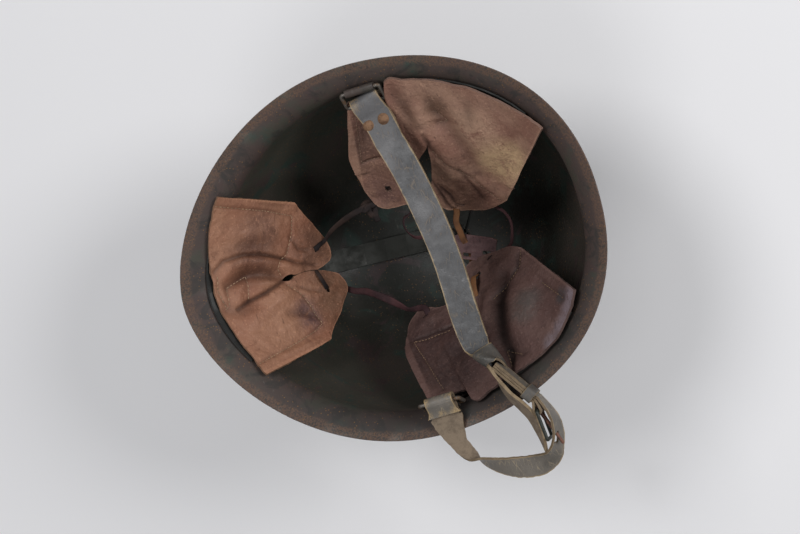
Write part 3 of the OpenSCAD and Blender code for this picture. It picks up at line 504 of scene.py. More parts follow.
def pad_leather(key, base, dark, warm, patches):
    f = Finish("pad_leather_" + key, Specular_IOR_Level=0.35)
    broad, mid, fine = f.cloud(22, 4, 0.6), f.cloud(95, 5, 0.65, 0.6), f.cloud(700, 4, 0.6)
    pores = f.cells(1500)
    f.colour = f.mix(base, warm, f.step(broad, 0.35, 0.65))
    f.over(dark, f.step(mid * 0.65 + broad * 0.35, 0.5, 0.7) * 0.75)
    for place, inner, outer, tint, share in patches:
        patchy = f.step(mid * 0.6 + fine * 0.4, 0.3, 0.55)
        f.over(tint, f.near(on_pad(PADS[key], *place), inner, outer) * patchy * share)
    streaks = f.cloud(520, 5, 0.7, 0.3, f.stretched((0.4, 0.3, 0.5), (1, 0.22, 0.6)))
    f.over(toned(dark, 0.35), f.step(streaks, 0.57, 0.72) * 0.6)
    scores = f.cloud(300, 5, 0.75, 0.3, f.stretched((0.2, 0.5, 1.2), (1, 0.14, 0.5)))
    f.over(toned(warm, 1.9), f.step(scores, 0.6, 0.7) * f.step(broad, 0.4, 0.6) * 0.45)
    f.over(toned(warm, 1.7), f.step(fine, 0.56, 0.7) * 0.42)
    # Painted shade in fold valleys and along sunk seams, from the shade mark
    f.over(toned(dark, 0.3), f.mark("shade") * f.step(mid, 0.05, 0.45) * 0.9)
    f.over(toned(warm, 1.5), f.step(f.mark("edge"), 1.6, 0.5) * 0.4)
    return f.done(f.colour, f.step(mid, 0.3, 0.7, 0.5, 0.72), [
        (f.cloud(170, 5, 0.6, 1.2), 0.7), (pores * 0.5 + fine * 0.8 + streaks * 0.6, 0.12)])


def raw_leather(name, tone, dark):
    f = Finish(name, Specular_IOR_Level=0.25)
    nap, fine = f.cloud(160, 5, 0.7), f.cloud(1300, 4, 0.7)
    f.colour = f.mix(tone, dark, f.step(nap, 0.45, 0.65) * 0.7)
    f.over(toned(dark, 0.45), f.step(fine, 0.58, 0.7) * 0.6)
    return f.done(f.colour, 0.9, [(fine + nap * 0.6, 0.25)])


# Places, sizes, tints and shares of stains, worn patches and patches of painted shade
LOOKS = {
    "front": ("pad_leather_tan", (0.26, 0.112, 0.066), (0.145, 0.06, 0.037), (0.33, 0.165, 0.10), [
        ((.56, .53), 4, 18, (0.10, 0.055, 0.06), 0.85), ((-.6, .3), 8, 24, (0.15, 0.072, 0.05), 0.7),
        # painted shade: the dark patch at (-.25, .26) darkens the trough between the front pad's humps
        ((-.25, .26), 6, 24, (0.11, 0.046, 0.028), 0.9), ((.6, .28), 10, 26, (0.32, 0.16, 0.095), 0.6),
        ((.4, .8), 8, 30, (0.16, 0.08, 0.046), 0.8), ((-.3, .74), 8, 28, (0.14, 0.066, 0.042), 0.85)]),
    "left": ("pad_leather_pink", (0.25, 0.125, 0.09), (0.125, 0.058, 0.046), (0.34, 0.2, 0.14), [
        ((-.82, .40), 10, 28, (0.56, 0.38, 0.22), 1.0), ((-.42, .23), 8, 26, (0.46, 0.29, 0.2), 0.8),
        ((.0, .16), 3, 13, (0.1, 0.06, 0.036), 0.5),
        ((.85, .3), 8, 26, (0.10, 0.054, 0.042), 0.8), ((.6, .85), 8, 30, (0.13, 0.068, 0.062), 0.7),
        ((.8, .55), 8, 28, (0.14, 0.074, 0.056), 0.7),
        ((-.4, .85), 8, 26, (0.14, 0.072, 0.05), 0.7)]),
    "right": ("pad_leather_dark", (0.092, 0.049, 0.043), (0.045, 0.023, 0.021), (0.135, 0.078, 0.066), [
        ((.98, .02), 2, 11, (0.25, 0.2, 0.225), 0.85), ((.84, .015), 2, 10, (0.25, 0.2, 0.225), 0.8),
        ((.68, .01), 2, 10, (0.22, 0.175, 0.195), 0.8), ((.5, .01), 2, 9, (0.18, 0.145, 0.16), 0.8),
        ((.9, .1), 2, 8, (0.05, 0.055, 0.06), 0.8), ((.55, .28), 6, 18, (0.08, 0.085, 0.08), 0.5),
        # painted shade: the two dark patches darken the right pad's left part, in the strap's shadow
        ((-.4, .3), 12, 40, (0.036, 0.018, 0.017), 0.85), ((-.75, .6), 10, 34, (0.05, 0.027, 0.025), 0.8)]),
}
CUTS = {key: raw_leather("pad_cut_edge_" + key, tone, toned(tone, 0.55)) for key, tone in (
    ("front", (0.26, 0.14, 0.085)), ("left", (0.19, 0.115, 0.09)), ("right", (0.10, 0.062, 0.055)))}
flesh_side = raw_leather("pad_flesh_side", (0.24, 0.17, 0.12), (0.15, 0.10, 0.07))
across, down = 168, 150
for key, p in PADS.items():
    bm = bmesh.new()
    bmesh.ops.create_grid(bm, x_segments=across, y_segments=down, size=1)
    shade_mark, edge_mark = bm.verts.layers.float.new("shade"), bm.verts.layers.float.new("edge")
    gone = []
    for face in bm.faces:
        c = face.calc_center_median()
        u, k = c.x, (c.y + 1) / 2 * bent(p["reach"], c.x)
        in_slot = any(((u - a) / b) ** 4 + ((k - c) / d) ** 4 < 1 for a, c, b, d in SLOTS[key])
        if in_slot or (abs(u) < 2 / across and k > p["slit"]):
            gone.append(face)
    bmesh.ops.delete(bm, geom=gone, context="FACES")
    reaches = {}
    for v in bm.verts:
        u, run = v.co.x, (v.co.y + 1) / 2
        reach = reaches.setdefault(round(u, 4), bent(p["reach"], u))
        k = run * reach + 0.004 * noise(Vector((u * 6, 1, 2)))
        inner = (1 - abs(u)) ** 1.5
        wider = bent(p["sides"][u > 0], k) - 1 + 0.006 * noise(Vector((k * 9, 5, 2)))
        centre = bent(p["lean"], k) * smooth_step((k - p["slit"] + 0.25) / 0.25)
        open_half = (bent(p["gap"], k) + 0.004) if k > p["slit"] and abs(u) > 1e-6 else 0.0
        if open_half:
            u = copysign((abs(u) - 2 / across) / (1 - 2 / across), u)
        u += copysign(wider * abs(u) ** 3, u) + (centre + copysign(open_half, u)) * inner
        lift, v[shade_mark], v[edge_mark] = pad_relief(key, u, k, reach)
        v.co = on_pad(p, u, k, lift)
    face_out(bm, on_pad(p, 0.3, 0.3), p["normal"])
    slot, base, dark, warm, patches = LOOKS[key]
    pad = piece("pad_skin_" + key, bm, "helmet",
                [pad_leather(key, base, dark, warm, patches), flesh_side, CUTS[key]], ["pad_" + key])
    thicken(pad, leather, -1, 1, 2, edge=0.4, even=False)

# Stitching. Waxed linen thread in short stitches along each seam, sunk a little into the
# leather by the pull of the seam.
stitch_pitch, stitch_share, thread_r, thread_rise = 2.3, 0.82, 0.25, 0.2
for key, tone in (("front", (0.48, 0.32, 0.2)), ("left", (0.34, 0.22, 0.15)), ("right", (0.32, 0.2, 0.12))):
    f = Finish("thread_" + key)
    thread = f.done(f.mix(tone, toned(tone, 0.5), f.step(f.cloud(260, 4), 0.4, 0.6)), 0.8,
                    [(f.cloud(2500, 2), 0.05)])
    p = PADS[key]
    bm = bmesh.new()
    for seam in SEAMS[key]:
        for a, b in zip(seam, seam[1:]):
            length = hypot((b[0] - a[0]) * pad_width, (b[1] - a[1]) * pad_length)
            count = max(1, round(length / stitch_pitch))
            for i in range(count):
                ends = []
                for t in (i / count, (i + stitch_share) / count):
                    u, k = a[0] + (b[0] - a[0]) * t, a[1] + (b[1] - a[1]) * t
                    lift = pad_relief(key, u, k, bent(p["reach"], u))[0]
                    ends.append(on_pad(p, u, k, lift + thread_rise))
                run = (ends[1] - ends[0]) / 2
                side = p["normal"].cross(run).normalized()
                up = run.cross(side).normalized()
                frame_of = Matrix((run, side * thread_r, up * thread_r)).transposed().to_4x4()
                bmesh.ops.create_uvsphere(bm, u_segments=6, v_segments=4, radius=1,
                                          matrix=Matrix.Translation((ends[0] + ends[1]) / 2) @ frame_of)
    piece("stitches_" + key, bm, "helmet", [thread])

# Cushions. A felt pad lies behind each leather pocket, thick in the middle and thin at its
# edges, held by the stitching.
f = Finish("felt", Specular_IOR_Level=0.1)
fibre = f.cloud(1400, 5, 0.75, 0.8)
felt = f.done(f.mix((0.33, 0.31, 0.26), (0.2, 0.185, 0.15),
                    f.step(fibre * 0.6 + f.cloud(120, 3) * 0.4, 0.42, 0.58)),
              0.95, [(fibre, 0.3)])
cushion_t, cushion_edge, cushion_span, cushion_gap = 9, 1.2, 0.8, 0.6
cushion_mid, cushion_reach, fold_room = 0.33, 0.15, 0.4
for key, p in PADS.items():
    bm = bmesh.new()
    bmesh.ops.create_grid(bm, x_segments=48, y_segments=34, size=1)
    back = bmesh.ops.extrude_face_region(bm, geom=bm.faces[:], use_keep_orig=True)["geom"]
    behind = {v for v in back if isinstance(v, bmesh.types.BMVert)}
    for v in bm.verts:
        a, b = v.co.x, v.co.y
        fill = sqrt(max(0.0, 1 - a ** 4)) * sqrt(max(0.0, 1 - b ** 4))
        side = cushion_edge + (cushion_t - cushion_edge) * fill if v in behind else 0.0
        u = a * cushion_span * (1 - 0.08 * b * b)
        k = cushion_mid + cushion_reach * b * (1 - 0.1 * a * a)
        k *= 1 - 0.2 * abs((abs(a * cushion_span) - 0.45) / 0.5) ** 2.4
        if v in behind:
            lift = 0.15 * noise(Vector((a * 5, b * 5, 1)))
        else:
            lift = min(0.0, pad_relief(key, u, k, 1)[0]) - fold_room
        v.co = on_pad(p, u, k, lift - leather - cushion_gap - side)
    bmesh.ops.recalc_face_normals(bm, faces=bm.faces)
    cushion = piece("felt_" + key, bm, "helmet", [felt], ["cushion_" + key])

# Laces. Flat leather laces, cut from hides of different colours, run through the slots of the
# tongues and draw them together. They cross behind the left pad, where short ends curl up.


def curve_point(a, b, c, d, t):
    return 0.5 * ((2 * b) + (c - a) * t + (2 * a - 5 * b + 4 * c - d) * t ** 2
                  + (3 * b - a - 3 * c + d) * t ** 3)


def smooth_rows(rows, steps):
    """Rows of vectors or numbers, with steps between each pair on a smooth curve."""
    last, out = len(rows) - 1, []
    for i in range(last):
        four = [rows[max(0, i - 1)], rows[i], rows[i + 1], rows[min(last, i + 2)]]
        out += [[curve_point(*parts, k / steps) for parts in zip(*four)] for k in range(steps)]
    return out + [list(rows[last])]


def frames(rows):
    """Middle, width direction, face direction and half width of each row."""
    out = []
    for i, (mid, wide, half) in enumerate(rows):
        run = (rows[min(i + 1, len(rows) - 1)][0] - rows[max(i - 1, 0)][0]).normalized()
        face = wide.cross(run).normalized()
        out.append((mid, run.cross(face).normalized(), face, half))
    return out


def lace_leather(name, tone, dark):
    f = Finish(name, Specular_IOR_Level=0.18)
    grain = f.cloud(420, 5, 0.65)
    f.colour = f.mix(tone, dark, f.step(f.cloud(60, 4), 0.4, 0.6))
    f.over(toned(tone, 1.8), f.step(grain, 0.6, 0.72) * 0.4)
    return f.done(f.colour, 0.75, [(grain, 0.18)])


lace_half_w, lace_half_t, lace_sides, lace_steps = 2.2, 0.6, 12, 5
lace_section = []
for i in range(lace_sides):
    a = 2 * pi * i / lace_sides
    lace_section.append((cos(a), copysign(abs(sin(a)) ** 0.6, sin(a)) * lace_half_t / lace_half_w))
F, L, R = PADS["front"], PADS["left"], PADS["right"]
sky = Vector((0, 0, 1))


def free(x, y, z, tilt=(0, 0, 1), width=lace_half_w):
    """A stop of a lace in the open, with the way that its flat face looks."""
    return (Vector((x, y, z)), Vector(tilt).normalized(), width)


def by(p, u, k, lift, width=lace_half_w):
    """A stop of a lace beside a pad, before its face or behind it."""
    return (on_pad(p, u, k, lift), p["normal"], width)


def thong(name, stops, finish, stands_for=()):
    """A lace swept along its stops and closed at both ends."""
    rows = smooth_rows([list(s) for s in stops], lace_steps)
    turned = []
    for i, (mid, face, half) in enumerate(rows):
        run = rows[min(i + 1, len(rows) - 1)][0] - rows[max(i - 1, 0)][0]
        turned.append((mid, run.cross(face).normalized(), half))
    bm = bmesh.new()
    n, m = lace_sides, len(turned) - 1
    bmesh.ops.create_grid(bm, x_segments=n, y_segments=m, size=1)
    placed = frames(turned)
    for v in bm.verts:
        i, j = round((v.co.x + 1) / 2 * n) % n, round((v.co.y + 1) / 2 * m)
        mid, wide, face, half = placed[j]
        v.co = mid + wide * lace_section[i][0] * half + face * lace_section[i][1] * half
    bmesh.ops.remove_doubles(bm, verts=bm.verts, dist=0.002)
    bmesh.ops.holes_fill(bm, edges=[e for e in bm.edges if e.is_boundary], sides=0)
    bmesh.ops.recalc_face_normals(bm, faces=bm.faces)
    piece(name, bm, "helmet", [finish], stands_for)


dark_lace = lace_leather("lace_dark", (0.038, 0.024, 0.02), (0.016, 0.012, 0.012))
purple_lace = lace_leather("lace_purple", (0.06, 0.026, 0.028), (0.032, 0.016, 0.018))
orange_lace = lace_leather("lace_orange", (0.17, 0.078, 0.034), (0.09, 0.042, 0.022))
thong("lace_front", [
    by(F, .31, .785, -2.2), by(F, .34, .86, -4.2), by(F, .36, .97, -4), free(60, 21, -86),
    free(52, 23, -83.5, width=2.6), free(45.8, 26.0, -81, (.3, .2, 1), 2.7),
    free(36.7, 31.9, -80, (-.2, 0, 1), 2.6), free(28.6, 38.2, -79, (.3, .3, 1), 2.6),
    free(20.9, 43.0, -76, (0, .8, 1)), by(R, -.56, .86, 2.6), by(R, -.55, .80, 1), by(R, -.55, .77, -3)],
    purple_lace, ["liner_lace"])
thong("lace_slot", [
    free(29, -26, -77), free(31, -30, -75.5), free(31, -34, -74), free(36.7, -32.7, -73),
    free(44.1, -30.9, -72.5, (0, .5, 1)), free(51.1, -28.6, -72.5, (0, .9, 1)),
    free(60.0, -24.7, -72.5, (0, .8, 1), 1.7), by(F, -.45, .86, 2.4, 1.5), by(F, -.38, .80, 1.7, 1.6),
    by(F, -.32, .768, -.4), by(F, -.26, .73, -3.6), by(F, -.12, .72, -3.6), by(F, -.03, .735, -.8, 1.6),
    by(F, .05, .735, 2.0, 1.6), by(F, .2, .755, 2.6, 1.6), by(F, .28, .772, .8), by(F, .31, .785, -2.2)],
    dark_lace)
thong("lace_rear", [
    by(R, .1, .62, -3), by(R, .16, .66, .5), by(R, .22, .71, 3.2), by(R, .29, .78, 3.4),
    by(R, .32, .81, .8), by(R, .33, .85, -3), by(R, .34, .97, -4), free(-30, 16, -84),
    free(-28.3, 5.7, -80), free(-27.8, 0, -79), free(-26.9, -7.4, -79), free(-29, -14, -80),
    by(L, -.30, .97, -3.4), by(L, -.38, .93, -3)], orange_lace)
thong("lace_left", [
    by(L, -.42, .90, -3.4), by(L, -.2, .84, -3.6), by(L, .1, .80, -4), by(L, .45, .79, -4),
    by(L, .6, .80, -2.6), by(L, .66, .82, -2.4), by(L, .76, .88, -3.4), by(L, .86, .97, -3.2),
    free(25, -34.5, -77), free(29.5, -33.5, -74.5, (0, 0.5, 1)), free(33, -32, -73),
    free(34.5, -34.5, -74.5, (0, -0.6, 1)), free(32, -36.5, -77), free(28.5, -35, -78),
    free(27, -31, -77.5), free(27.5, -27, -76.5), free(27, -22, -78)], dark_lace)
thong("lace_end", [
    by(L, .28, .86, -3.4, 1.6), by(L, .33, .96, -3, 1.6), free(3, -21.5, -77.5, (1, 0, .4), 1.8),
    free(7.6, -19.2, -76, (1, 0, .6), 1.8), free(9, -14, -75.5, (1, 0, .6), 1.8),
    free(7, -8, -76, (1, .4, .6), 1.6), free(3, -4, -77.5, (.5, .5, 1), 1.6),
    free(-4, -3, -78.5, (0, .5, 1), 1.6)], purple_lace)
thong("lace_thin", [
    by(L, -.75, .88, -3, 1.2), free(-57, -10, -78, width=1.2), free(-62, -5, -77.5, width=1.1),
    free(-64.3, 2.6, -78, width=1), free(-63.0, 10.0, -78.5, width=1), free(-60, 17, -79, width=1.1),
    free(-54, 20, -80, width=1.2)],
    purple_lace)

# Tab. The end of the right pad's tongue is pieced out with an offcut that has two slots,
# tucked behind the tongue and stitched to it.
tab_mid = Vector((-34, 13, -81))
tab_along, tab_across = Vector((-0.93, 0.36, 0.0)), Vector((0.36, 0.93, 0.1))
tab_half_l, tab_half_w, tab_t, slot_half_l, slot_half_w = 15, 8.5, 1.4, 2.9, 1.1
bm = bmesh.new()
bmesh.ops.create_grid(bm, x_segments=52, y_segments=24, size=1)
bmesh.ops.delete(bm, context="FACES", geom=[face for face in bm.faces if any(
    abs(face.calc_center_median().x * tab_half_l - a) < slot_half_l
    and abs(face.calc_center_median().y * tab_half_w - b) < slot_half_w
    for a, b in ((9.5, 2.5), (-4.5, 5.5)))])
shade_mark, edge_mark = bm.verts.layers.float.new("shade"), bm.verts.layers.float.new("edge")
for v in bm.verts:
    a, b = v.co.x, v.co.y
    round_end = 1 - 0.22 * abs(a) ** 5
    v[edge_mark] = min((1 - abs(a)) * tab_half_l, (1 - abs(b)) * tab_half_w)
    v.co = tab_mid + tab_along * a * tab_half_l + tab_across * b * tab_half_w * round_end \
        + Vector((0, 0, 1.2 * cos(a * 2.2) + 0.8 * noise(Vector((a * 2, b * 2, 3)))))
face_out(bm, tab_mid, sky)
tab_leather = pad_leather("tab", (0.075, 0.034, 0.037), (0.04, 0.019, 0.022), (0.1, 0.05, 0.05), [])
tab = piece("tongue_tab", bm, "helmet", [tab_leather, flesh_side, CUTS["front"]])
thicken(tab, tab_t, -1, 1, 2, even=False)

# Brackets and rings. Each bracket is a strip of sheet steel rolled round the ring's bar and
# riveted to the wall. The rings are bent from wire and butted closed.
bracket_paint = steel_paint("bracket_paint", -20, 0.6)
for name in ("bracket_left", "bracket_right", "bracket_rivets"):
    dress(name, bracket_paint)
f = Finish("ring_wire", Metallic=0.6)
stain = f.cloud(180, 5, 0.65)
ring_wire = f.done(f.mix((0.15, 0.135, 0.12), (0.13, 0.075, 0.04), f.step(stain, 0.45, 0.6)),
                   f.step(stain, 0.35, 0.7, 0.4, 0.75), [(f.cloud(1100, 4), 0.09)])
for name in ("ring_left", "ring_right"):
    dress(name, ring_wire)

# Long strap. Vegetable-tanned leather dyed grey-black on its grain side, folded round the left
# ring and riveted, then turned on edge in the keeper. Its cut edges stay pale.


def strap_grain(name, tone, dark, crack, cracked=1.0, painted_shade_spots=(), worn=()):
    f = Finish(name, Specular_IOR_Level=0.5)
    broad, mid, fine = f.cloud(30, 4), f.cloud(130, 5, 0.65), f.cloud(1100, 4, 0.65)
    f.colour = f.mix(tone, dark, f.step(broad, 0.36, 0.64))
    # Painted shade: the strap darkens round these spots
    for point, inner, outer, share in painted_shade_spots:
        f.over(toned(dark, 0.75), f.near(point, inner, outer) * share)
    scuffs = f.cloud(600, 5, 0.7, 0.4, f.stretched((0, 0, 0.2), (0.35, 1, 1)))
    f.over(toned(tone, 2.0), f.step(scuffs, 0.58, 0.74) * 0.5)
    plates = f.cells(170, "DISTANCE_TO_EDGE", 0, f.stretched((0, 0, 0.12), (2.2, 0.6, 1)))
    cracks = f.step(plates, 0.05 + 0.03 * cracked, 0.0) * f.step(mid, 0.54 - 0.06 * cracked, 0.66)
    f.over(toned(dark, 0.5), f.step(fine, 0.56, 0.68) * 0.5)
    f.over(crack, cracks * 0.5 * cracked)
    f.over((0.36, 0.25, 0.12), f.step(f.mark("edge") + mid * 2.4, 2.1, 1.2) * 0.75)
    for point, outer in worn:
        patchy = f.step(mid * 0.5 + fine * 0.5, 0.42, 0.56)
        f.over((0.38, 0.26, 0.125), f.near(point, 0.5, outer) * patchy * 0.85)
    return f.done(f.colour, f.step(mid, 0.3, 0.7, 0.4, 0.62), [
        (mid, 0.25), (fine * 0.7 + f.cells(1300) * 0.5, 0.1), (1 - cracks, 0.15)])


strap_leather = strap_grain("strap_grain", (0.118, 0.115, 0.118), (0.062, 0.062, 0.065), (0.26, 0.2, 0.14),
                             painted_shade_spots=[((-39, 60, 0), 12, 48, 0.85)],
                             worn=[((-1, -97, -9), 7), ((-20, -101, -9), 6), ((-27, -90, -12), 5)])
strap_suede = raw_leather("strap_suede", (0.215, 0.165, 0.118), (0.125, 0.095, 0.07))
strap_edge = raw_leather("strap_edge", (0.27, 0.20, 0.125), (0.16, 0.115, 0.07))


def ribbon(name, rows, thickness, body, finishes, stands_for=(), cut=None, edge=0.35, fray=0.12):
    """A flat strap along rows, its grain on the side that the rows face."""
    bm = bmesh.new()
    n, m = 14, len(rows) - 1
    bmesh.ops.create_grid(bm, x_segments=n, y_segments=m, size=1)
    edge_mark = bm.verts.layers.float.new("edge")
    placed = frames(rows)
    for v in bm.verts:
        a, j = v.co.x, round((v.co.y + 1) / 2 * m)
        mid, wide, face, half = placed[j]
        slow = noise(Vector((j * 0.09, copysign(1, a) * 3, 1))) * 0.3
        wave = (slow + noise(mid * 0.35 + wide * copysign(5, a)) * fray) * abs(a) ** 3
        v[edge_mark] = (1 - abs(a)) * half
        v.co = mid + wide * (a * half + wave * a) + face * 0.12 * noise(mid * 0.06)
    if cut:
        bmesh.ops.delete(bm, geom=[x for x in bm.faces if cut(x.calc_center_median())], context="FACES")
    face_out(bm, rows[2][0], placed[2][2])
    thicken(piece(name, bm, body, finishes, stands_for), thickness, 0, 1, 2, edge=edge, even=False)


def rolled(route):
    """Rows of x, y, z, roll in degrees and half width, as rows with a width direction."""
    out = []
    for i, (x, y, z, roll, half) in enumerate(route):
        a, b = route[max(i - 1, 0)], route[min(i + 1, len(route) - 1)]
        t = Vector((b[0] - a[0], b[1] - a[1], 0)).normalized()
        wide = cos(radians(roll)) * Vector((t.y, -t.x, 0)) + sin(radians(roll)) * sky
        out.append((Vector((x, y, z)), wide, half))
    return out


fold_gap, route_steps = 0.1, 8


def fold_rows(bar, run, side, wide, half, r_in, thick, flap):
    """A strap folded round a bar: the flap, the loop and the start of the long layer."""
    rho, g = r_in + thick / 2, (thick + fold_gap) / 2
    flat_at = rho + 5
    spots = [(flap, g), (flat_at, g), (rho + 1.5, g + 0.45 * (rho - g))]
    spots += [(rho * cos(radians(a)), rho * sin(radians(a))) for a in range(70, 291, 10)]
    spots += [(rho + 1.5, -g - 0.45 * (rho - g)), (flat_at, -g), (flap + 1, -g)]
    return [(bar + run * x + side * y, wide, half) for x, y in spots]


wire_r, turn_gap, ring_len, bracket_x, knuckle_y, knuckle_z = 1.3, 0.35, 11.5, -9, 104.673, -5
strap_t, strap_half_w, strap_yaw, run_yaw, long_flap, fold_set = 2, 10, radians(17), radians(15), 19, 0.8
left_swing, right_swing = radians(-42), radians(110)
long_bar = Vector((bracket_x - 1, -knuckle_y + ring_len * cos(left_swing),
                   knuckle_z + ring_len * sin(left_swing)))
long_across = Vector((cos(strap_yaw), sin(strap_yaw), 0))
long_run = Vector((-sin(run_yaw), cos(run_yaw), -0.12)).normalized()
long_side = long_run.cross(long_across).normalized()
long_loop = wire_r + turn_gap + 0.1 + strap_half_w * sin(strap_yaw)
long_fold = fold_rows(long_bar - long_run * fold_set, long_run, long_side, long_across, strap_half_w,
                      long_loop, strap_t, long_flap)
long_route = rolled([
    (-16, -70, -15, 0, 9.9), (-24, -45, -12.6, 0, 9.9), (-31.2, -13, -9.5, 0, 9.8), (-36, 18, -6, 0, 9.5),
    (-38.8, 50, -1, 0, 9.5), (-41.2, 67, 2.2, 4, 9), (-42.8, 72, 3.4, 14, 8.2),
    (-45.8, 76.8, 4.6, 44, 5.9), (-49.6, 85.5, 6.2, 78, 5.6), (-50.6, 92, 7.3, 100, 5.9),
    (-52.8, 99.5, 7.7, 114, 6.2), (-56.4, 107.3, 8, 121, 6.2), (-61.8, 114.9, 7.8, 128, 6),
    (-66, 123, 7, 132, 5.2), (-68, 133, 6, 132, 4), (-68.4, 140, 5.3, 125, 2.6),
    (-68.5, 146, 4.8, 115, 0.8)])
ribbon("strap_long", long_fold + smooth_rows(long_route, route_steps), strap_t, "chin_strap",
       [strap_leather, strap_suede, strap_edge], ["long_strap"], edge=0.25)
f = Finish("strap_rivet_steel", Metallic=0.35)
stain = f.cloud(300, 5, 0.7)
rusty_steel = f.done(f.mix((0.24, 0.135, 0.075), (0.12, 0.062, 0.034), f.step(stain, 0.42, 0.62)), 0.72,
                     [(stain, 0.25), (f.cloud(1500, 3), 0.06)])
dress("long_strap_rivets", rusty_steel)

# Short strap. Folded round the right ring, it narrows, leaves over the rim, loops round and
# runs up through the buckle and back as the tongue. Its flesh side is rough and pale.
narrow_t, narrow_half, layer_gap, right_slack = 1.6, 5, 0.2, 1.2
layer = narrow_t + layer_gap
short_half, flap_end, flap_root = 9.3, 11.2, 10.8
bundle_mid, bundle_end = Vector((-69.5, 109, 7.5)), -29
bundle_dir, bundle_side = Vector((-0.6, 0.8, 0)), Vector((0.8, 0.6, 0))


def bundle_row(s, k):
    return (bundle_mid + s * bundle_dir + k * layer * bundle_side, sky, narrow_half)


short_skew, short_flap = 0.06, 9
short_run = Vector((-short_skew, 1, -0.14)).normalized()
short_bar = Vector((bracket_x - 1, knuckle_y + ring_len * cos(right_swing),
                    knuckle_z + ring_len * sin(right_swing)))
short_wide = Vector((1, short_skew, 0)).normalized()
short_side = short_wide.cross(short_run).normalized()
short_fold = fold_rows(short_bar, short_run, short_side, short_wide, short_half, wire_r + right_slack,
                       strap_t, short_flap)
for i, half in enumerate((flap_end, flap_root)):
    short_fold[i] = (*short_fold[i][:2], half)
short_route = rolled([
    (-10.6, 112, 3, 0, 10.8), (-11.2, 117, 2.6, 0, 9.6), (-12.4, 124, 2.3, 4, 7.4),
    (-14.6, 131, 2, 16, 5.6), (-18.5, 137.5, 1.4, 45, 4.8), (-25.5, 143.6, 0, 118, 5.6),
    (-35, 149.5, -2, 146, 6.6), (-47, 153.5, -2.5, 164, 7.2), (-60, 154, -1, 162, 7.2),
    (-70.5, 150.5, 2, 142, 6.4), (-76, 144.2, 4.4, 122, 5.6), (-79, 136.6, 5.2, 114, 5.3),
    (-79.6, 128.6, 5.6, 108, 5.1), (-77.6, 120.2, 6.6, 98, 5)])
tongue_rows = [bundle_row(s, -1) for s in (5.4, 3.4, 1, -6, -13, -20, bundle_end)]
grey_strap = strap_grain("strap_narrow", (0.16, 0.14, 0.118), (0.09, 0.08, 0.068), (0.34, 0.27, 0.18), 1.6,
                         worn=[((1, 109, 6), 8), ((-21, 110, 6), 9), ((-10, 110, 6), 6), ((-19, 99, 9), 6),
                               ((0, 99, 9), 5)])
narrow_edge = raw_leather("narrow_edge", (0.19, 0.14, 0.09), (0.11, 0.08, 0.052))
buckle_bar, buckle_turn, prong_rest = Vector((-71.5, 119, 7.5)), radians(6), radians(16)
prong_dir = Matrix.Rotation(pi / 2 + buckle_turn + prong_rest, 3, "Z") @ Vector((1, 0, 0))
prong_across = Vector((prong_dir.y, -prong_dir.x, 0))
hole_half_h, hole_near, hole_far, hole_half_w = 1.7, 17.5, 26.5, 4.4


def prong_hole(c):
    d = c - buckle_bar
    beside = abs(d.dot(prong_across)) < hole_half_w
    return abs(d.z) < hole_half_h and hole_near < d.dot(prong_dir) < hole_far and beside


ribbon("strap_short", short_fold + smooth_rows(short_route + tongue_rows, route_steps), narrow_t,
       "chin_strap", [strap_suede, grey_strap, narrow_edge], ["short_strap"],
       prong_hole, fray=0.5)

# Chape. A narrow leather strip folded round the buckle's near bar, with a gap cut for the
# prong's eye. Its two ends lie on both sides of the tongue.
buckle_r, prong_eye, eye_room, eye_half_h = 1.1, 2.55, 1.6, 1.8
chape_fold = fold_rows(buckle_bar, Vector((0, -1, 0)), Vector((1, 0, 0)), sky, narrow_half,
                       buckle_r + turn_gap, narrow_t, 5.5)
chape_rows = [bundle_row(s, 1) for s in (bundle_end, -20, -13, -6, 0, 2.9, 3.9)] + chape_fold[2:-2] + [
    bundle_row(s, 0) for s in (3.9, 2.9, 0, -6, -13, -20, bundle_end)]


def eye_gap(c):
    d = c - buckle_bar
    return hypot(d.x, d.y) < prong_eye + eye_room and abs(d.z) < eye_half_h


ribbon("buckle_loop", chape_rows, narrow_t, "chin_strap",
       [grey_strap, strap_suede, narrow_edge], ["buckle_chape"], eye_gap)

# Keepers. Loops of the strap's leather, their ends butted and stitched. The upper one is fixed
# on the long strap and gathers it on edge, the lower one slides along the narrow straps.
keeper_t, keeper_half, keeper_room = 1.3, 3.5, 0.35
keeper_leather = strap_grain("keeper_grain", (0.105, 0.095, 0.085), (0.06, 0.056, 0.05), (0.2, 0.15, 0.1))


def loop_of(name, mids, size, body, node):
    """A leather loop: rows of middle, width and face directions, with its inner half sizes."""
    bm = bmesh.new()
    n, m = 48, len(mids) - 1
    bmesh.ops.create_grid(bm, x_segments=n, y_segments=m, size=1)
    edge_mark = bm.verts.layers.float.new("edge")
    for v in bm.verts:
        i, j = round((v.co.x + 1) / 2 * n) % n, round((v.co.y + 1) / 2 * m)
        mid, wide, face = mids[j]
        half_w, half_t, power = size(j / m)
        a = 2 * pi * i / n
        v[edge_mark] = min(j, m - j) * 1.1
        v.co = mid + wide * half_w * copysign(abs(cos(a)) ** power, cos(a)) \
            + face * half_t * copysign(abs(sin(a)) ** power, sin(a)) \
            + (wide * cos(a) + face * sin(a)) * 0.15 * noise(Vector((cos(a) * 2, sin(a) * 2, j * 0.3)))
    bmesh.ops.remove_doubles(bm, verts=bm.verts, dist=0.002)
    face_out(bm, mids[0][0] + mids[0][1] * size(0)[0], mids[0][1])
    made = piece(name, bm, body, [keeper_leather, strap_suede, narrow_edge], [node])
    thicken(made, keeper_t, 1, 1, 2)


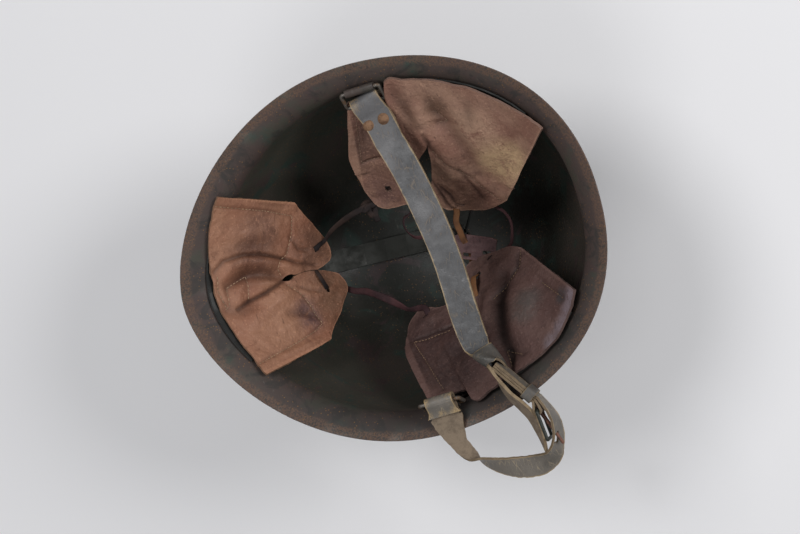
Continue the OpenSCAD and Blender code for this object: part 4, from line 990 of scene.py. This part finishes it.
upper_from, upper_to, mouth_lean, mouth_skew = 54, 69, 2.6, 0.7
base_rows = frames(smooth_rows(long_route, route_steps))[upper_from:upper_to]
upper_mids = []
for j, (mid, wide, face, half) in enumerate(base_rows):
    share = j / (len(base_rows) - 1)
    upper_mids.append((mid + face * mouth_lean * share, wide - face.cross(wide) * mouth_skew * share ** 2,
                       face))
loop_of("keeper_fixed", upper_mids, lambda q: (6.5 + 0.3 * q, 2.1 * (1 - q) + 4.6 * q, 0.6),
        "chin_strap", "keeper_upper")
lower_mids = [(bundle_mid + bundle_dir * (-1 - keeper_half + 2 * keeper_half * j / 10), bundle_side, sky)
              for j in range(11)]
loop_of("keeper_sliding", lower_mids,
        lambda q: (layer + narrow_t / 2 + keeper_room, narrow_half + keeper_room, 0.22),
        "sliding_keeper", "keeper_lower")

# Buckle. A frame of welded wire, painted dark, held in the chape's fold. Its prong is bent
# from rusty wire and turns on the frame's near bar.
f = Finish("buckle_paint", Metallic=0.3)
chips = f.cloud(420, 5, 0.7)
buckle_paint = f.done(f.mix((0.02, 0.024, 0.019), (0.09, 0.055, 0.035), f.step(chips, 0.58, 0.68)),
                      f.step(chips, 0.4, 0.7, 0.35, 0.7), [(chips, 0.08)])
dress("buckle_frame", buckle_paint)
f = Finish("prong_steel", Metallic=0.5)
stain = f.cloud(240, 5, 0.7)
prong_steel = f.done(f.mix((0.17, 0.075, 0.05), (0.08, 0.045, 0.035), f.step(stain, 0.42, 0.62)), 0.6,
                     [(stain, 0.12)])
dress("buckle_prong", prong_steel)

# Floor and light. A plain pale floor under the crown, three broad soft lamps round the camera
# and an even sky.
floor_half, sky_strength = 3, 0.23
bm = bmesh.new()
bmesh.ops.create_grid(bm, x_segments=1, y_segments=1, size=floor_half,
                      matrix=Matrix.Translation((0, 0, cad_low.z)))
floor_mesh = bpy.data.meshes.new("floor")
bm.to_mesh(floor_mesh)
bm.free()
f = Finish("floor_cloth")
floor_mesh.materials.append(f.done((0.84, 0.835, 0.85), 0.9))
floor = bpy.data.objects.new("floor", floor_mesh)
bpy.context.scene.collection.objects.link(floor)


def lamp(name, right, up, back, size, share):
    """A round soft lamp at a place given from the camera's side, with its share of the light."""
    place = view_right * right + view_up * up + view_back * back
    data = bpy.data.lights.new(name, "AREA")
    data.shape, data.size, data.energy = "DISK", size, share * pi ** 2 * place.length_squared
    made = bpy.data.objects.new(name, data)
    made.location = place
    made.rotation_mode = "QUATERNION"
    made.rotation_quaternion = place.to_track_quat("Z", "Y")
    bpy.context.scene.collection.objects.link(made)


lamp("lamp_right", right=1.2, up=0.55, back=1.7, size=0.75, share=0.52)
lamp("lamp_left", right=-1.25, up=0.5, back=1.6, size=0.9, share=0.38)
lamp("lamp_low", right=-0.5, up=-1.2, back=1.7, size=0.9, share=0.16)
world = bpy.data.worlds.new("studio")
bpy.context.scene.world = world
world.use_nodes = True
background = world.node_tree.nodes["Background"]
background.inputs["Color"].default_value = (0.95, 0.97, 1, 1)
background.inputs["Strength"].default_value = sky_strength
bpy.context.scene.view_settings.view_transform = "Standard"
